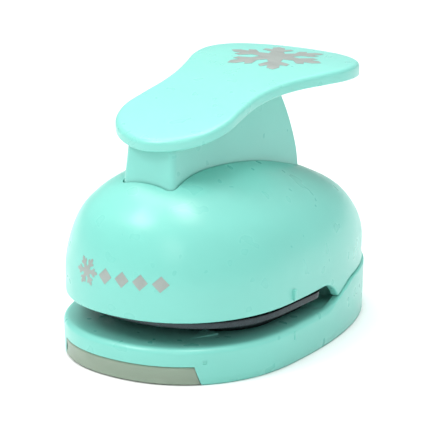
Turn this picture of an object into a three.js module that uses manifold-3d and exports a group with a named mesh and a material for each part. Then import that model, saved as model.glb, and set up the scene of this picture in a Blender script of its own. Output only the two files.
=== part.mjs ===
// Lever craft punch with a snowflake die: an oval housing in two halves, a palm lever on a
// front pivot, a sprung steel punch between two plates, and a chip tray that swings down.
// Millimetres, +Z up. The origin is the middle of the footprint on the table; the paper
// goes in from -Y and the palm presses the lever down at +Y.
import * as THREE from 'three';
import { mergeVertices } from 'three/addons/utils/BufferGeometryUtils.js';
import Module from 'manifold-3d';

const wasm = await Module();
wasm.setup();

// ---- Driving dimensions --------------------------------------------------------------
const GAP = 0.3; // running or assembly gap between neighbouring pieces
const STEPS = 52; // points round the oval
const OVERCUT = 1; // how far a cutter runs past the face it opens

// Footprint: a superellipse whose widest line lies ahead of the middle
const HALF_WIDTH = 33;
const FRONT_LENGTH = 36.7; // widest line to the front
const REAR_LENGTH = 67.8; // widest line to the rear
const OVAL_POWER = 2.19;
const WIDEST_Y = (FRONT_LENGTH - REAR_LENGTH) / 2;
const WALL = 2.2;

// Housing heights
const DECK_TOP = 10.2;
const DECK_BOTTOM = 8;
const MOUTH_TOP = 17.2;
const SEAM_TOP = 14.5; // joint line of the two halves at the rear
const RIM_FLARE = 0.36; // how far the base leans out by its rim
const RIM_ROUND = 1.6;

// Parting line: where the mouth ends and the joint line ramps up
const MOUTH_END = { y: 1.5, radius: 11.1, rear: 11 };
const RAMP = { from: 2, to: 24 };

// Dome: height over the mouth edge, and its outline as (ring size, height) from edge to crown
const DOME = { height: 36.4, inset: 0.33, lean: 0.087 };
const DOME_OUTLINE = [
  [1, 0], [0.998, 0.22], [0.949, 0.42], [0.854, 0.6], [0.708, 0.74], [0.535, 0.85],
  [0.361, 0.93], [0.158, 0.98], [0.01, 1],
];
const DOME_SHRINK = { front: 0.74, rear: 0.98 };
const SKIRT_LOW = 9; // how far down the dome's wall is carried before it is trimmed

// Lever: a waisted plate with a crowned top, on a hollow web that turns on a low front pin
const PIVOT = { y: -31.2, z: 36.5, pin: 2, boss: 5 };
const PLATE = { z: 72.4, slope: Math.tan(THREE.MathUtils.degToRad(10)), crown: 0.00304 };
const PLATE_CROWN_Y = -7;
const PLATE_THICKNESS = 3.3;
const PLATE_ROUND = 1.3;
const PLATE_MIDDLE_Y = 2;
const PLATE_RINGS = [0.2, 0.5, 0.8]; // sizes of the rings on its flat faces
const WEB = { half: 8.5, front: -36.2, reach: 55.8, wall: 2.2, round: 2 };
const WEB_TOP = 66.5;
const WEB_BOTTOM_REAR = 41.5;
const RIB = { half: 1.5, top: 62 }; // cross wall over the rounded foot that presses the plunger
const FOOT_REAR = { y: WIDEST_Y + 4, z: 38.5 }; // where the underside starts to rise
const WEB_TAPER = [[25, 8.5], [49, 8.5], [54, 8.1], [70, 7.5]]; // (height, half width)
const EAR = { inner: WEB.half + 0.6, thickness: 3, top: 47.5 };
const SLOT_GAP = 0.4;
const WEB_SEAT = 0.2; // how much lower the inner boss is than the web's rounded foot
const PIN_CLEARANCE = 0.1;
const BORE_END = 20; // half length of every cutter along the pivot
const PIN_END = EAR.inner + EAR.thickness + 2.3;
const CLIP = { radius: 4, half: 0.4, mouth: 1.4, grip: 0.25 };

// Punch, die and plates, centred on the widest line of the housing
const MOTIF_RADIUS = 17.6;
const DIE_CLEARANCE = 0.35;
const WINDOW_RADIUS = MOTIF_RADIUS + 1.5; // hole in the deck that the chips fall through
const DIE_PLATE = { bottom: 10.5, top: 11.9, half: 25.5, front: 18.9, rear: 4 };
const GUIDE_PLATE = { bottom: 14, top: 15.8, half: 30.6, front: 30, rear: 5 };
const TAIL = { half: 17, end: 28 };
const SHOULDER_RADIUS = 5;
const PUNCH = { bottom: 14.5, top: 25.7 };
const HEAD = { bottom: 26, top: 30, radius: 18.5, wing: 27, wingWidth: 6 };
const CONTACT_RADIUS = 3;
const POST = { x: 23.5, radius: 1.5, top: 38 };
const SPRING = { radius: 2.7, wire: 0.4, turns: 5 };

// Small ramps on the deck that lead paper onto the die plate
const LEAD_IN = [[15.4, -38.6], [19.6, -31.5], [14.8, -31.5]];
const LEAD_IN_HEIGHT = 0.4;

// Small upright bars moulded on the sides, where the middle of the motif lies
const TICK = { proud: 0.55, sunk: 1, start: 0.4, end: 1.6 };
const BASE_TICK = [6.8, 9.2];
const DOME_TICK = [18, 21];

// Chip tray under the deck, with a front lip in a notch of the base wall
const TRAY = { floor: 0.3, thickness: 1.2, top: 7.3, rear: 10, lip: 21.3, lipTop: 5.2 };
const TRAY_HINGE = { y: 14.5, z: 3.9, radius: 1.2, lug: 15.8, ear: 12.4 };
const LUG = { half: 1.5, reach: 3, bottom: 1.4, clearance: 0.2 };
const TRAY_EAR = { half: 1.4, radius: 2.2, bottom: 1.6, top: 6, clearance: 0.15 };
const TRAY_PIN_END = 17.2;

const LIP_FRONT = WIDEST_Y - FRONT_LENGTH - 2 * OVERCUT;
const LIP_REAR = WIDEST_Y - FRONT_LENGTH * 0.6;

// Housing screws, as distances from the middle line
const SCREW_PLACES = [
  { name: 'front', x: 22, y: 17 },
  { name: 'rear', x: 14, y: 38 },
];
const SCREW = { radius: 1.4, head: 2.6, headHeight: 2.2, top: 30 };
const BOSS = { radius: 4, bottom: 3 };
const COLUMN_RADIUS = 3.4;

// Rivets that hold the two plates and their spacers together behind the mouth
const RIVET_PLACES = [
  { name: 'front_left', x: -10, y: 14 }, { name: 'front_right', x: 10, y: 14 },
  { name: 'rear_left', x: -10, y: 24 }, { name: 'rear_right', x: 10, y: 24 },
];
const RIVET = { radius: 2, head: 3.2, headHeight: 1.1 };
const SPACER = { near: 4, far: 16, front: 10 };

// ---- Materials -----------------------------------------------------------------------
function plastic(color, roughness = 0.25) {
  return new THREE.MeshStandardMaterial({ color, roughness, metalness: 0 });
}
function metal(color, roughness = 0.3) {
  return new THREE.MeshStandardMaterial({ color, roughness, metalness: 1 });
}
const MINT = plastic('#98e8dd');
const MINT_LEVER = plastic('#a4f0e6');
const SMOKED_CLEAR = plastic('#acc4b0', 0.35);
SMOKED_CLEAR.transparent = true;
SMOKED_CLEAR.opacity = 0.75;
const WHITE_ACETAL = plastic('#eceae4', 0.5);
const SILVER_PRINT = metal('#d2cdc8', 0.45);
const DARK_STEEL = metal('#5b6063', 0.3);
const BRIGHT_STEEL = metal('#c9ccce', 0.25);
const ZINC = metal('#b4b8ba', 0.4);
const SPRING_STEEL = metal('#8d9295', 0.3);

// ---- Solids --------------------------------------------------------------------------
function toSolid(geometry) {
  const bare = geometry.clone();
  bare.deleteAttribute('normal');
  bare.deleteAttribute('uv');
  const merged = mergeVertices(bare, 1e-4);
  return new wasm.Manifold(new wasm.Mesh({
    numProp: 3,
    vertProperties: merged.attributes.position.array,
    triVerts: new Uint32Array(merged.index.array),
  }));
}

function join(first, ...others) {
  return others.reduce((whole, part) => whole.add(part), first);
}

function cut(first, ...others) {
  return others.reduce((whole, part) => whole.subtract(part), first);
}

function toGeometry(solid) {
  const { vertProperties, triVerts } = solid.getMesh();
  const geometry = new THREE.BufferGeometry();
  geometry.setAttribute('position', new THREE.BufferAttribute(vertProperties, 3));
  geometry.setIndex(new THREE.BufferAttribute(triVerts, 1));
  geometry.computeVertexNormals();
  return geometry;
}

const punch = new THREE.Group();
function addPiece(name, shape, material) {
  const geometry = shape instanceof THREE.BufferGeometry ? shape : toGeometry(shape);
  const mesh = new THREE.Mesh(geometry, material);
  mesh.name = name;
  punch.add(mesh);
}

// Loft through rings of equal length, each listed anticlockwise seen from above
function loft(rings) {
  const count = rings[0].length;
  const points = rings.flat();
  const middle = (ring) => ring.reduce((sum, p) => sum.add(p), new THREE.Vector3())
    .divideScalar(count);
  points.push(middle(rings[0]), middle(rings.at(-1)));
  const bottom = points.length - 2;
  const top = points.length - 1;
  const lastRing = (rings.length - 1) * count;
  const faces = [];
  for (let i = 0; i < count; i += 1) {
    const next = (i + 1) % count;
    faces.push(bottom, next, i, top, lastRing + i, lastRing + next);
    for (let k = 0; k < lastRing; k += count) {
      faces.push(k + i, k + next, k + count + next);
      faces.push(k + i, k + count + next, k + count + i);
    }
  }
  const geometry = new THREE.BufferGeometry().setFromPoints(points);
  geometry.setIndex(faces);
  return geometry;
}

function extrudeUp(shape, low, high) {
  const options = { depth: high - low, bevelEnabled: false };
  return toSolid(new THREE.ExtrudeGeometry(shape, options).translate(0, 0, low));
}

// A profile given as (y, z), carried across X and centred on the middle plane
function extrudeAcross(profile, width, middle = 0, options = {}) {
  const shape = profile instanceof THREE.Shape ? profile : new THREE.Shape(profile);
  const settings = { depth: width, bevelEnabled: false, ...options };
  const geometry = new THREE.ExtrudeGeometry(shape, settings);
  const turn = new THREE.Matrix4().makeBasis(
    new THREE.Vector3(0, 1, 0), new THREE.Vector3(0, 0, 1), new THREE.Vector3(1, 0, 0));
  return toSolid(geometry.applyMatrix4(turn).translate(middle - width / 2, 0, 0));
}

function box(low, high) {
  const size = high.map((value, axis) => value - low[axis]);
  const middle = high.map((value, axis) => (value + low[axis]) / 2);
  return toSolid(new THREE.BoxGeometry(...size).translate(...middle));
}

function post(radius, x, y, low, high, sides = 20) {
  const geometry = new THREE.CylinderGeometry(radius, radius, high - low, sides);
  return toSolid(geometry.rotateX(Math.PI / 2).translate(x, y, (low + high) / 2));
}

function rod(radius, from, to, y, z, sides = 20) {
  const geometry = new THREE.CylinderGeometry(radius, radius, to - from, sides);
  return toSolid(geometry.rotateZ(-Math.PI / 2).translate((from + to) / 2, y, z));
}

// ---- Shared outlines -----------------------------------------------------------------
const signedPower = (value, power) => Math.sign(value) * Math.abs(value) ** power;

// One level ring of the housing's oval, with its own half width and lengths
function ovalRing(half, front, rear, height) {
  return Array.from({ length: STEPS }, (_, i) => {
    const angle = (i / STEPS) * Math.PI * 2;
    const along = signedPower(Math.sin(angle), 2 / OVAL_POWER);
    const x = half * signedPower(Math.cos(angle), 2 / OVAL_POWER);
    const y = WIDEST_Y + along * (along < 0 ? front : rear);
    return new THREE.Vector3(x, y, typeof height === 'function' ? height(y) : height);
  });
}

function ovalLevel(grow, z) {
  return ovalRing(HALF_WIDTH + grow, FRONT_LENGTH + grow, REAR_LENGTH + grow, z);
}

// Height of the base's upper edge along the side, level, then ramped, then level again
function seamHeight(y) {
  const t = THREE.MathUtils.clamp((y - RAMP.from) / (RAMP.to - RAMP.from), 0, 1);
  return DECK_TOP + (SEAM_TOP - DECK_TOP) * (1 - Math.cos(Math.PI * t)) / 2;
}

// Moves each corner of a closed outline outwards by the same clearance
function growOutline(points, grow) {
  return points.map((point, i) => {
    const before = points.at(i - 1);
    const after = points[(i + 1) % points.length];
    const inward = point.clone().sub(before).normalize();
    const outward = after.clone().sub(point).normalize();
    const first = new THREE.Vector2(inward.y, -inward.x);
    const second = new THREE.Vector2(outward.y, -outward.x);
    const scale = grow / (1 + first.dot(second));
    return point.clone().add(first.add(second).multiplyScalar(scale));
  });
}

// Half of one snowflake arm along +X, from the notch beside it to its tip, for radius 1
const ARM = [[0.26, 0.15], [0.45, 0.115], [0.64, 0.29], [0.77, 0.24], [0.7, 0.115], [0.88, 0.115]];
const ARM_TIP = [1, 0];
function snowflake(radius, grow = 0, middle = { x: 0, y: WIDEST_Y }) {
  const lower = ARM.slice(1).map(([x, y]) => new THREE.Vector2(x, -y));
  const upper = ARM.map(([x, y]) => new THREE.Vector2(x, y)).reverse();
  const arm = [...lower, new THREE.Vector2(...ARM_TIP), ...upper];
  const points = [];
  for (let turn = 0; turn < 6; turn += 1) {
    const angle = (turn * Math.PI) / 3;
    arm.forEach((p) => points.push(p.clone().rotateAround(new THREE.Vector2(), angle)));
  }
  const sized = points.map((p) => p.multiplyScalar(radius));
  const grown = grow ? growOutline(sized, grow) : sized;
  return grown.map((p) => p.add(new THREE.Vector2(middle.x, middle.y)));
}

// ---- Base shell ----------------------------------------------------------------------
function baseSkirt(top) {
  return loft([
    ovalLevel(-0.4, 0),
    ovalLevel(0, 0.4),
    ovalLevel(RIM_FLARE, top - RIM_ROUND),
    ovalLevel(RIM_FLARE - RIM_ROUND * 0.3, top - RIM_ROUND * 0.3),
    ovalLevel(RIM_FLARE - RIM_ROUND, top),
  ]);
}

function rearWall() {
  const wall = toSolid(loft([
    ovalLevel(RIM_FLARE, DECK_BOTTOM), ovalLevel(RIM_FLARE, SEAM_TOP + 1),
  ]));
  const profile = [];
  for (let y = RAMP.from; y <= RAMP.to; y += 2) {
    profile.push(new THREE.Vector2(y, seamHeight(y)));
  }
  const end = REAR_LENGTH;
  profile.push(new THREE.Vector2(end, SEAM_TOP));
  profile.push(new THREE.Vector2(end, DECK_BOTTOM), new THREE.Vector2(RAMP.from, DECK_BOTTOM));
  return wall.intersect(extrudeAcross(profile.reverse(), HALF_WIDTH * 3));
}

function forEachScrew(build) {
  return SCREW_PLACES.flatMap(({ x, y }) => [build(-x, y), build(x, y)]);
}

function leadInRamp(side) {
  const corners = LEAD_IN.map(([x, y]) => new THREE.Vector2(side * x, y));
  const shape = new THREE.Shape(side < 0 ? corners.reverse() : corners);
  return extrudeUp(shape, (DECK_TOP + DECK_BOTTOM) / 2, DECK_TOP + LEAD_IN_HEIGHT);
}

function tickBar(side, [low, high]) {
  const outside = side * (HALF_WIDTH + TICK.proud);
  const inside = side * (HALF_WIDTH - TICK.sunk);
  return box(
    [Math.min(outside, inside), WIDEST_Y + TICK.start, low],
    [Math.max(outside, inside), WIDEST_Y + TICK.end, high],
  );
}

function trayLug(x) {
  const { y, z, radius } = TRAY_HINGE;
  const { half, reach, bottom, clearance } = LUG;
  const lug = box([x - half, y - reach, bottom], [x + half, y + reach, DECK_BOTTOM + GAP]);
  const hole = rod(radius + clearance, x - half - OVERCUT, x + half + OVERCUT, y, z);
  return cut(lug, hole);
}

function buildBase() {
  const outside = join(toSolid(baseSkirt(DECK_TOP)), rearWall());
  const hollow = (low, high) => toSolid(loft([ovalLevel(-WALL, low), ovalLevel(-WALL, high)]));
  const shell = cut(
    outside, hollow(-OVERCUT, DECK_BOTTOM), hollow(DECK_TOP, SEAM_TOP + 2 * OVERCUT));
  const lipNotch = box(
    [-TRAY.lip - GAP, LIP_FRONT, -OVERCUT],
    [TRAY.lip + GAP, LIP_REAR, TRAY.lipTop + GAP],
  );
  const bosses = forEachScrew((x, y) => post(BOSS.radius, x, y, BOSS.bottom, SEAM_TOP));
  const under = BOSS.bottom - OVERCUT;
  const counterbores = forEachScrew((x, y) => post(SCREW.head + GAP, x, y, under, DECK_BOTTOM));
  const screwHoles = forEachScrew((x, y) => post(
    SCREW.radius + GAP, x, y, under, SEAM_TOP + OVERCUT));
  const deckHole = (radius, x, y, sides) => post(
    radius, x, y, DECK_BOTTOM - OVERCUT, DECK_TOP + OVERCUT, sides);
  const window = deckHole(WINDOW_RADIUS, 0, WIDEST_Y, 40);
  const rivetHoles = RIVET_PLACES.map(({ x, y }) => deckHole(RIVET.head + 2 * GAP, x, y));
  const filled = join(shell, ...bosses, leadInRamp(-1), leadInRamp(1),
    trayLug(-TRAY_HINGE.lug), trayLug(TRAY_HINGE.lug),
    tickBar(-1, BASE_TICK), tickBar(1, BASE_TICK));
  return cut(filled, lipNotch, window, ...counterbores, ...screwHoles, ...rivetHoles);
}

// ---- Dome cover ----------------------------------------------------------------------
// Rings of the dome, shrunk inwards by an offset for its inner side
function domeRings(offset, low, levels) {
  const half = HALF_WIDTH - DOME.inset - offset;
  const front = FRONT_LENGTH - DOME.inset - offset;
  const rear = REAR_LENGTH - DOME.inset - offset;
  const height = DOME.height - offset;
  const rings = [ovalRing(half + 0.25, front + 0.25, rear + 0.25, low)];
  const outline = new THREE.SplineCurve(DOME_OUTLINE.map(([s, h]) => new THREE.Vector2(s, h)));
  outline.getSpacedPoints(levels).forEach(({ x: s, y: h }) => {
    rings.push(ovalRing(half * s, front * s ** DOME_SHRINK.front, rear * s ** DOME_SHRINK.rear,
      (y) => MOUTH_TOP + height * h - DOME.lean * (y - WIDEST_Y) * h ** 0.8));
  });
  return rings;
}

// Everything below the dome's lower edge, as one profile across the housing
function belowDome() {
  const profile = [new THREE.Vector2(-FRONT_LENGTH * 2, 0), new THREE.Vector2(REAR_LENGTH, 0)];
  profile.push(new THREE.Vector2(REAR_LENGTH, SEAM_TOP + GAP));
  for (let y = RAMP.to; y > MOUTH_END.rear; y -= 2) {
    profile.push(new THREE.Vector2(y, seamHeight(y) + GAP));
  }
  const start = Math.acos((MOUTH_END.rear - MOUTH_END.y) / MOUTH_END.radius);
  const middle = MOUTH_TOP - MOUTH_END.radius;
  for (let i = 0; i <= 5; i += 1) {
    const angle = start + (Math.PI / 2 - start) * (i / 5);
    profile.push(new THREE.Vector2(
      MOUTH_END.y + MOUTH_END.radius * Math.cos(angle),
      middle + MOUTH_END.radius * Math.sin(angle),
    ));
  }
  profile.push(new THREE.Vector2(-FRONT_LENGTH * 2, MOUTH_TOP));
  return extrudeAcross(profile, HALF_WIDTH * 3);
}

function pivotBore() {
  return rod(PIVOT.pin + PIN_CLEARANCE, -BORE_END, BORE_END, PIVOT.y, PIVOT.z, 24);
}

function pivotEar(side) {
  const inner = side * EAR.inner;
  const outer = inner + side * EAR.thickness;
  const low = Math.min(inner, outer);
  const high = Math.max(inner, outer);
  const block = box([low, PIVOT.y - PIVOT.boss, PIVOT.z], [high, PIVOT.y + PIVOT.boss, EAR.top]);
  const eye = rod(PIVOT.boss, low, high, PIVOT.y, PIVOT.z, 28);
  return join(block, eye);
}

function buildDome() {
  const outer = toSolid(loft(domeRings(0, SKIRT_LOW, 12)));
  const inner = toSolid(loft(domeRings(WALL, SKIRT_LOW - 1, 8)));
  const middleOfWall = toSolid(loft(domeRings(WALL / 2, SKIRT_LOW, 12)));
  const columns = forEachScrew((x, y) => post(COLUMN_RADIUS, x, y, SEAM_TOP + GAP, PLATE.z));
  const fittings = join(pivotEar(-1), pivotEar(1), ...columns).intersect(middleOfWall);
  const slot = box(
    [-WEB.half - SLOT_GAP, WEB.front - SLOT_GAP, DECK_TOP],
    [WEB.half + SLOT_GAP, PIVOT.y + WEB.reach + SLOT_GAP, PLATE.z],
  );
  const pinHole = pivotBore();
  const screwHoles = forEachScrew((x, y) => post(
    SCREW.radius + GAP, x, y, DECK_TOP, SCREW.top + OVERCUT));
  const ticks = [tickBar(-1, DOME_TICK), tickBar(1, DOME_TICK)];
  const shell = join(cut(outer, inner, belowDome(), slot), ...ticks);
  return cut(join(shell, fittings), pinHole, ...screwHoles);
}

// ---- Lever ---------------------------------------------------------------------------
const plateTop = (y) => PLATE.z + PLATE.slope * y - PLATE.crown * (y - PLATE_CROWN_Y) ** 2;

// Half outline of the plate: narrow thumb lobe in front, waist, wide palm lobe behind
const PLATE_EDGE = [
  [0, -38.3], [9.8, -35.4], [15.4, -30], [17.5, -23.5], [16.9, -16], [16.3, -8], [17.2, 0],
  [19.6, 8], [22.9, 16.5], [24.4, 25], [22.3, 33.8], [17.2, 39.8], [9.8, 44.2], [0, 45.9],
];
function plateOutline(count) {
  const right = PLATE_EDGE.map(([x, y]) => new THREE.Vector3(x, y, 0));
  const left = right.slice(1, -1).reverse().map((p) => new THREE.Vector3(-p.x, p.y, 0));
  const curve = new THREE.CatmullRomCurve3([...right, ...left], true, 'centripetal');
  return curve.getSpacedPoints(count).slice(0, count);
}

function buildPlate() {
  const outline = plateOutline(STEPS).map((p) => new THREE.Vector2(p.x, p.y));
  const middle = new THREE.Vector2(0, PLATE_MIDDLE_Y);
  const ring = (inset, scale, drop) => growOutline(outline, -inset).map((p) => {
    const place = p.sub(middle).multiplyScalar(scale).add(middle);
    return new THREE.Vector3(place.x, place.y, plateTop(place.y) - drop);
  });
  const under = PLATE_RINGS.map((scale) => ring(PLATE_ROUND, scale, PLATE_THICKNESS));
  const over = PLATE_RINGS.map((scale) => ring(PLATE_ROUND, scale, 0)).reverse();
  const edge = [];
  for (let i = 0; i <= 4; i += 1) {
    const angle = -Math.PI / 2 + (i / 4) * Math.PI;
    const lift = Math.sin(angle) > 0 ? PLATE_ROUND : PLATE_THICKNESS - PLATE_ROUND;
    edge.push(ring(PLATE_ROUND * (1 - Math.cos(angle)), 1, PLATE_ROUND - lift * Math.sin(angle)));
  }
  return toSolid(loft([...under, ...edge, ...over]));
}

// Side profile of the web, shrunk by an inset for its hollow
function webProfile(inset) {
  const reach = WEB.reach - inset;
  const shape = new THREE.Shape();
  const front = WEB.front + inset;
  shape.moveTo(front, plateTop(front) - PLATE_THICKNESS / 2 - inset);
  shape.lineTo(front, PIVOT.z);
  if (inset === 0) {
    shape.absarc(PIVOT.y, PIVOT.z, PIVOT.boss, Math.PI, Math.PI * 1.75, false);
    shape.lineTo(WIDEST_Y - CONTACT_RADIUS, PIVOT.z);
    shape.absarc(WIDEST_Y, PIVOT.z, CONTACT_RADIUS, Math.PI, Math.PI * 2, false);
    shape.lineTo(FOOT_REAR.y, FOOT_REAR.z);
  } else {
    shape.lineTo(front, DECK_TOP);
    shape.lineTo(PIVOT.y + reach, DECK_TOP);
  }
  const low = Math.asin((WEB_BOTTOM_REAR - PIVOT.z) / WEB.reach);
  const high = Math.asin((WEB_TOP - PIVOT.z) / reach);
  shape.absarc(PIVOT.y, PIVOT.z, reach, inset === 0 ? low : 0, high, false);
  return shape;
}

// Upright envelope of the web: rounded front corners, and sides that lean in towards the top
function webEnvelope() {
  const rear = PIVOT.y + WEB.reach + OVERCUT;
  const level = (half, z) => {
    const ring = [new THREE.Vector3(half, rear, z), new THREE.Vector3(-half, rear, z)];
    for (let i = 0; i <= 8; i += 1) {
      const angle = Math.PI + (i / 8) * Math.PI;
      const side = i < 4 ? -1 : 1;
      const edge = i === 4 ? 0 : side * (half - WEB.round);
      const x = edge + WEB.round * Math.cos(angle);
      ring.push(new THREE.Vector3(x, WEB.front + WEB.round * (1 + Math.sin(angle)), z));
    }
    return ring;
  };
  return toSolid(loft(WEB_TAPER.map(([z, half]) => level(half, z))));
}

function buildLever() {
  const smooth = { curveSegments: 10 };
  const side = extrudeAcross(webProfile(0), 4 * WEB.half, 0, smooth);
  const web = side.intersect(webEnvelope());
  const hollow = 2 * (WEB_TAPER.at(-1)[1] - WEB.wall);
  const inside = extrudeAcross(webProfile(WEB.wall), hollow, 0, smooth);
  const half = hollow / 2 + OVERCUT;
  const rib = box([-half, WIDEST_Y - RIB.half, PIVOT.z], [half, WIDEST_Y + RIB.half, RIB.top]);
  const contact = rod(CONTACT_RADIUS, -half, half, WIDEST_Y, PIVOT.z);
  const boss = rod(PIVOT.boss - WEB_SEAT, -half, half, PIVOT.y, PIVOT.z, 24);
  const pinHole = pivotBore();
  return cut(join(cut(web, inside), rib, contact, boss, buildPlate()), pinHole);
}

// ---- Steel parts ---------------------------------------------------------------------
const at = (x, y) => new THREE.Vector2(x, y);

// Flat plate with an oval front, rounded shoulders and a narrow tail; the motif is cut out
function pressedPlate({ half, front, rear }) {
  const right = [];
  for (let i = 1; i <= 9; i += 1) {
    const angle = -Math.PI / 2 + (i / 9) * (Math.PI / 2);
    right.push(at(
      half * signedPower(Math.cos(angle), 2 / OVAL_POWER),
      WIDEST_Y + front * signedPower(Math.sin(angle), 2 / OVAL_POWER),
    ));
  }
  for (let i = 0; i <= 3; i += 1) {
    const angle = (i / 3) * (Math.PI / 2);
    right.push(at(
      half - SHOULDER_RADIUS * (1 - Math.cos(angle)), rear - SHOULDER_RADIUS * (1 - Math.sin(angle)),
    ));
  }
  right.push(at(TAIL.half, rear), at(TAIL.half, TAIL.end));
  const left = right.map((p) => at(-p.x, p.y)).reverse();
  const shape = new THREE.Shape([...right, ...left]);
  shape.holes.push(new THREE.Path(snowflake(MOTIF_RADIUS, DIE_CLEARANCE).reverse()));
  return shape;
}

function drill(plate, places, radius) {
  places.forEach(({ x, y }) => {
    const hole = new THREE.Path();
    hole.absarc(x, y, radius, 0, Math.PI * 2, true);
    plate.holes.push(hole);
  });
  return plate;
}

function buildGuidePlate() {
  const plate = pressedPlate(GUIDE_PLATE);
  drill(plate, RIVET_PLACES, RIVET.radius + GAP);
  drill(plate, [-1, 1].map((side) => ({ x: side * POST.x, y: WIDEST_Y })), POST.radius + GAP);
  return extrudeUp(plate, GUIDE_PLATE.bottom, GUIDE_PLATE.top);
}

function buildDiePlate() {
  const plate = pressedPlate(DIE_PLATE);
  drill(plate, RIVET_PLACES, RIVET.radius + GAP);
  return extrudeUp(plate, DIE_PLATE.bottom, DIE_PLATE.top);
}

function buildSpacer(side) {
  const low = DIE_PLATE.top + GAP;
  const high = GUIDE_PLATE.bottom - GAP;
  const edges = [side * SPACER.near, side * SPACER.far];
  const holes = RIVET_PLACES.filter(({ x }) => x * side > 0)
    .map(({ x, y }) => post(RIVET.radius + GAP, x, y, low - OVERCUT, high + OVERCUT));
  const block = box([Math.min(...edges), SPACER.front, low], [Math.max(...edges), TAIL.end, high]);
  return cut(block, ...holes);
}

function buildRivet({ x, y }) {
  const { radius, head, headHeight } = RIVET;
  const low = DIE_PLATE.bottom - GAP;
  const high = GUIDE_PLATE.top + GAP;
  return join(
    post(radius, x, y, low - headHeight / 2, high + headHeight / 2),
    post(head, x, y, low - headHeight, low),
    post(head, x, y, high, high + headHeight),
  );
}

function buildSpring(side) {
  const low = GUIDE_PLATE.top + GAP + SPRING.wire;
  const high = HEAD.bottom - GAP - SPRING.wire;
  const count = SPRING.turns * 12;
  const points = Array.from({ length: count + 1 }, (_, i) => {
    const angle = (i / count) * SPRING.turns * Math.PI * 2;
    return new THREE.Vector3(
      side * POST.x + SPRING.radius * Math.cos(angle),
      WIDEST_Y + SPRING.radius * Math.sin(angle),
      low + (high - low) * (i / count),
    );
  });
  const wire = new THREE.Shape();
  wire.absarc(0, 0, SPRING.wire, 0, Math.PI * 2, false);
  const path = new THREE.CatmullRomCurve3(points);
  const options = { steps: count, extrudePath: path, curveSegments: 3, bevelEnabled: false };
  return toSolid(new THREE.ExtrudeGeometry(wire, options));
}

// ---- Plunger -------------------------------------------------------------------------
const PUNCH_SCREW = { x: 12, radius: 1.25, hole: 1.6, head: 2.6, end: 6 };
const HUB_RADIUS = 7;
const WING_STEP = 1; // how much lower the wings are than the disc

function buildHead() {
  const disc = post(HEAD.radius, 0, WIDEST_Y, HEAD.bottom, HEAD.top, 40);
  const wings = box(
    [-HEAD.wing, WIDEST_Y - HEAD.wingWidth, HEAD.bottom],
    [HEAD.wing, WIDEST_Y + HEAD.wingWidth, HEAD.top - WING_STEP],
  );
  const hub = post(HUB_RADIUS, 0, WIDEST_Y, HEAD.bottom, PIVOT.z - CONTACT_RADIUS - GAP, 28);
  const headHole = (radius, x) => post(
    radius, x, WIDEST_Y, HEAD.bottom - OVERCUT, HEAD.top + OVERCUT);
  const holes = [-1, 1].flatMap((side) => [
    headHole(POST.radius + GAP, side * POST.x),
    headHole(PUNCH_SCREW.hole, side * PUNCH_SCREW.x),
  ]);
  return cut(join(disc, wings, hub), ...holes);
}

function buildPunch() {
  const body = extrudeUp(new THREE.Shape(snowflake(MOTIF_RADIUS)), PUNCH.bottom, PUNCH.top);
  const { x, hole, end } = PUNCH_SCREW;
  const holes = [-1, 1].map((side) => post(
    hole, side * x, WIDEST_Y, PUNCH.top - end - OVERCUT, PUNCH.top + OVERCUT));
  return cut(body, ...holes);
}

function buildPunchScrew(side) {
  const { radius, head, end } = PUNCH_SCREW;
  const x = side * PUNCH_SCREW.x;
  return join(
    post(radius, x, WIDEST_Y, PUNCH.top - end, HEAD.top + 2 * GAP),
    post(head, x, WIDEST_Y, HEAD.top + GAP, HEAD.top + GAP + radius),
  );
}

// ---- Chip tray -----------------------------------------------------------------------
function buildTray() {
  const { floor, thickness, top, rear, lip, lipTop } = TRAY;
  const grow = -WALL - GAP - 0.2;
  const outer = toSolid(loft([
    ovalLevel(grow - 0.8, floor), ovalLevel(grow, floor + 0.8), ovalLevel(grow, top),
  ]));
  const far = REAR_LENGTH;
  const trimmed = cut(outer, box([-far, rear, -OVERCUT], [far, far, top + OVERCUT]));
  const hollow = toSolid(loft([
    ovalLevel(grow - thickness, floor + thickness), ovalLevel(grow - thickness, top + OVERCUT),
  ]));
  const kept = cut(
    hollow, box([-far, rear - thickness, -OVERCUT], [far, far, top + 2 * OVERCUT]));
  const band = toSolid(loft([ovalLevel(-0.3, 0.2), ovalLevel(0, 0.7), ovalLevel(0.18, lipTop)]));
  const bandHole = toSolid(loft([
    ovalLevel(grow - thickness / 3, -OVERCUT), ovalLevel(grow - thickness / 3, lipTop + OVERCUT),
  ]));
  const front = box(
    [-lip, LIP_FRONT, -OVERCUT],
    [lip, LIP_REAR, lipTop + OVERCUT],
  );
  const frontLip = cut(band, bandHole).intersect(front);
  const { y, z, radius, ear } = TRAY_HINGE;
  const ears = [-ear, ear].map((x) => join(
    box([x - TRAY_EAR.half, rear - thickness, TRAY_EAR.bottom],
      [x + TRAY_EAR.half, y, TRAY_EAR.top]),
    rod(TRAY_EAR.radius, x - TRAY_EAR.half, x + TRAY_EAR.half, y, z),
  ));
  const pinHole = rod(radius + TRAY_EAR.clearance, -TRAY_PIN_END, TRAY_PIN_END, y, z);
  return cut(join(cut(trimmed, kept), frontLip, ...ears), pinHole);
}

// ---- Prints --------------------------------------------------------------------------
const LEVER_MOTIF = { y: 25, radius: 15.2, thickness: 0.25 };
const FRONT_PRINT = { z: 27.8, star: 4.2, x: -10, dot: 2.2, dots: [-3, 2.5, 8, 13.5] };

function buildLeverPrint() {
  const { y, radius, thickness } = LEVER_MOTIF;
  const shape = new THREE.Shape(snowflake(radius, 0, { x: 0, y: 0 }));
  const options = { depth: thickness, bevelEnabled: false };
  const flat = new THREE.ExtrudeGeometry(shape, options);
  const slope = PLATE.slope - 2 * PLATE.crown * (y - PLATE_CROWN_Y);
  return toSolid(flat.rotateX(Math.atan(slope)).translate(0, y, plateTop(y) + GAP));
}

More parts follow.
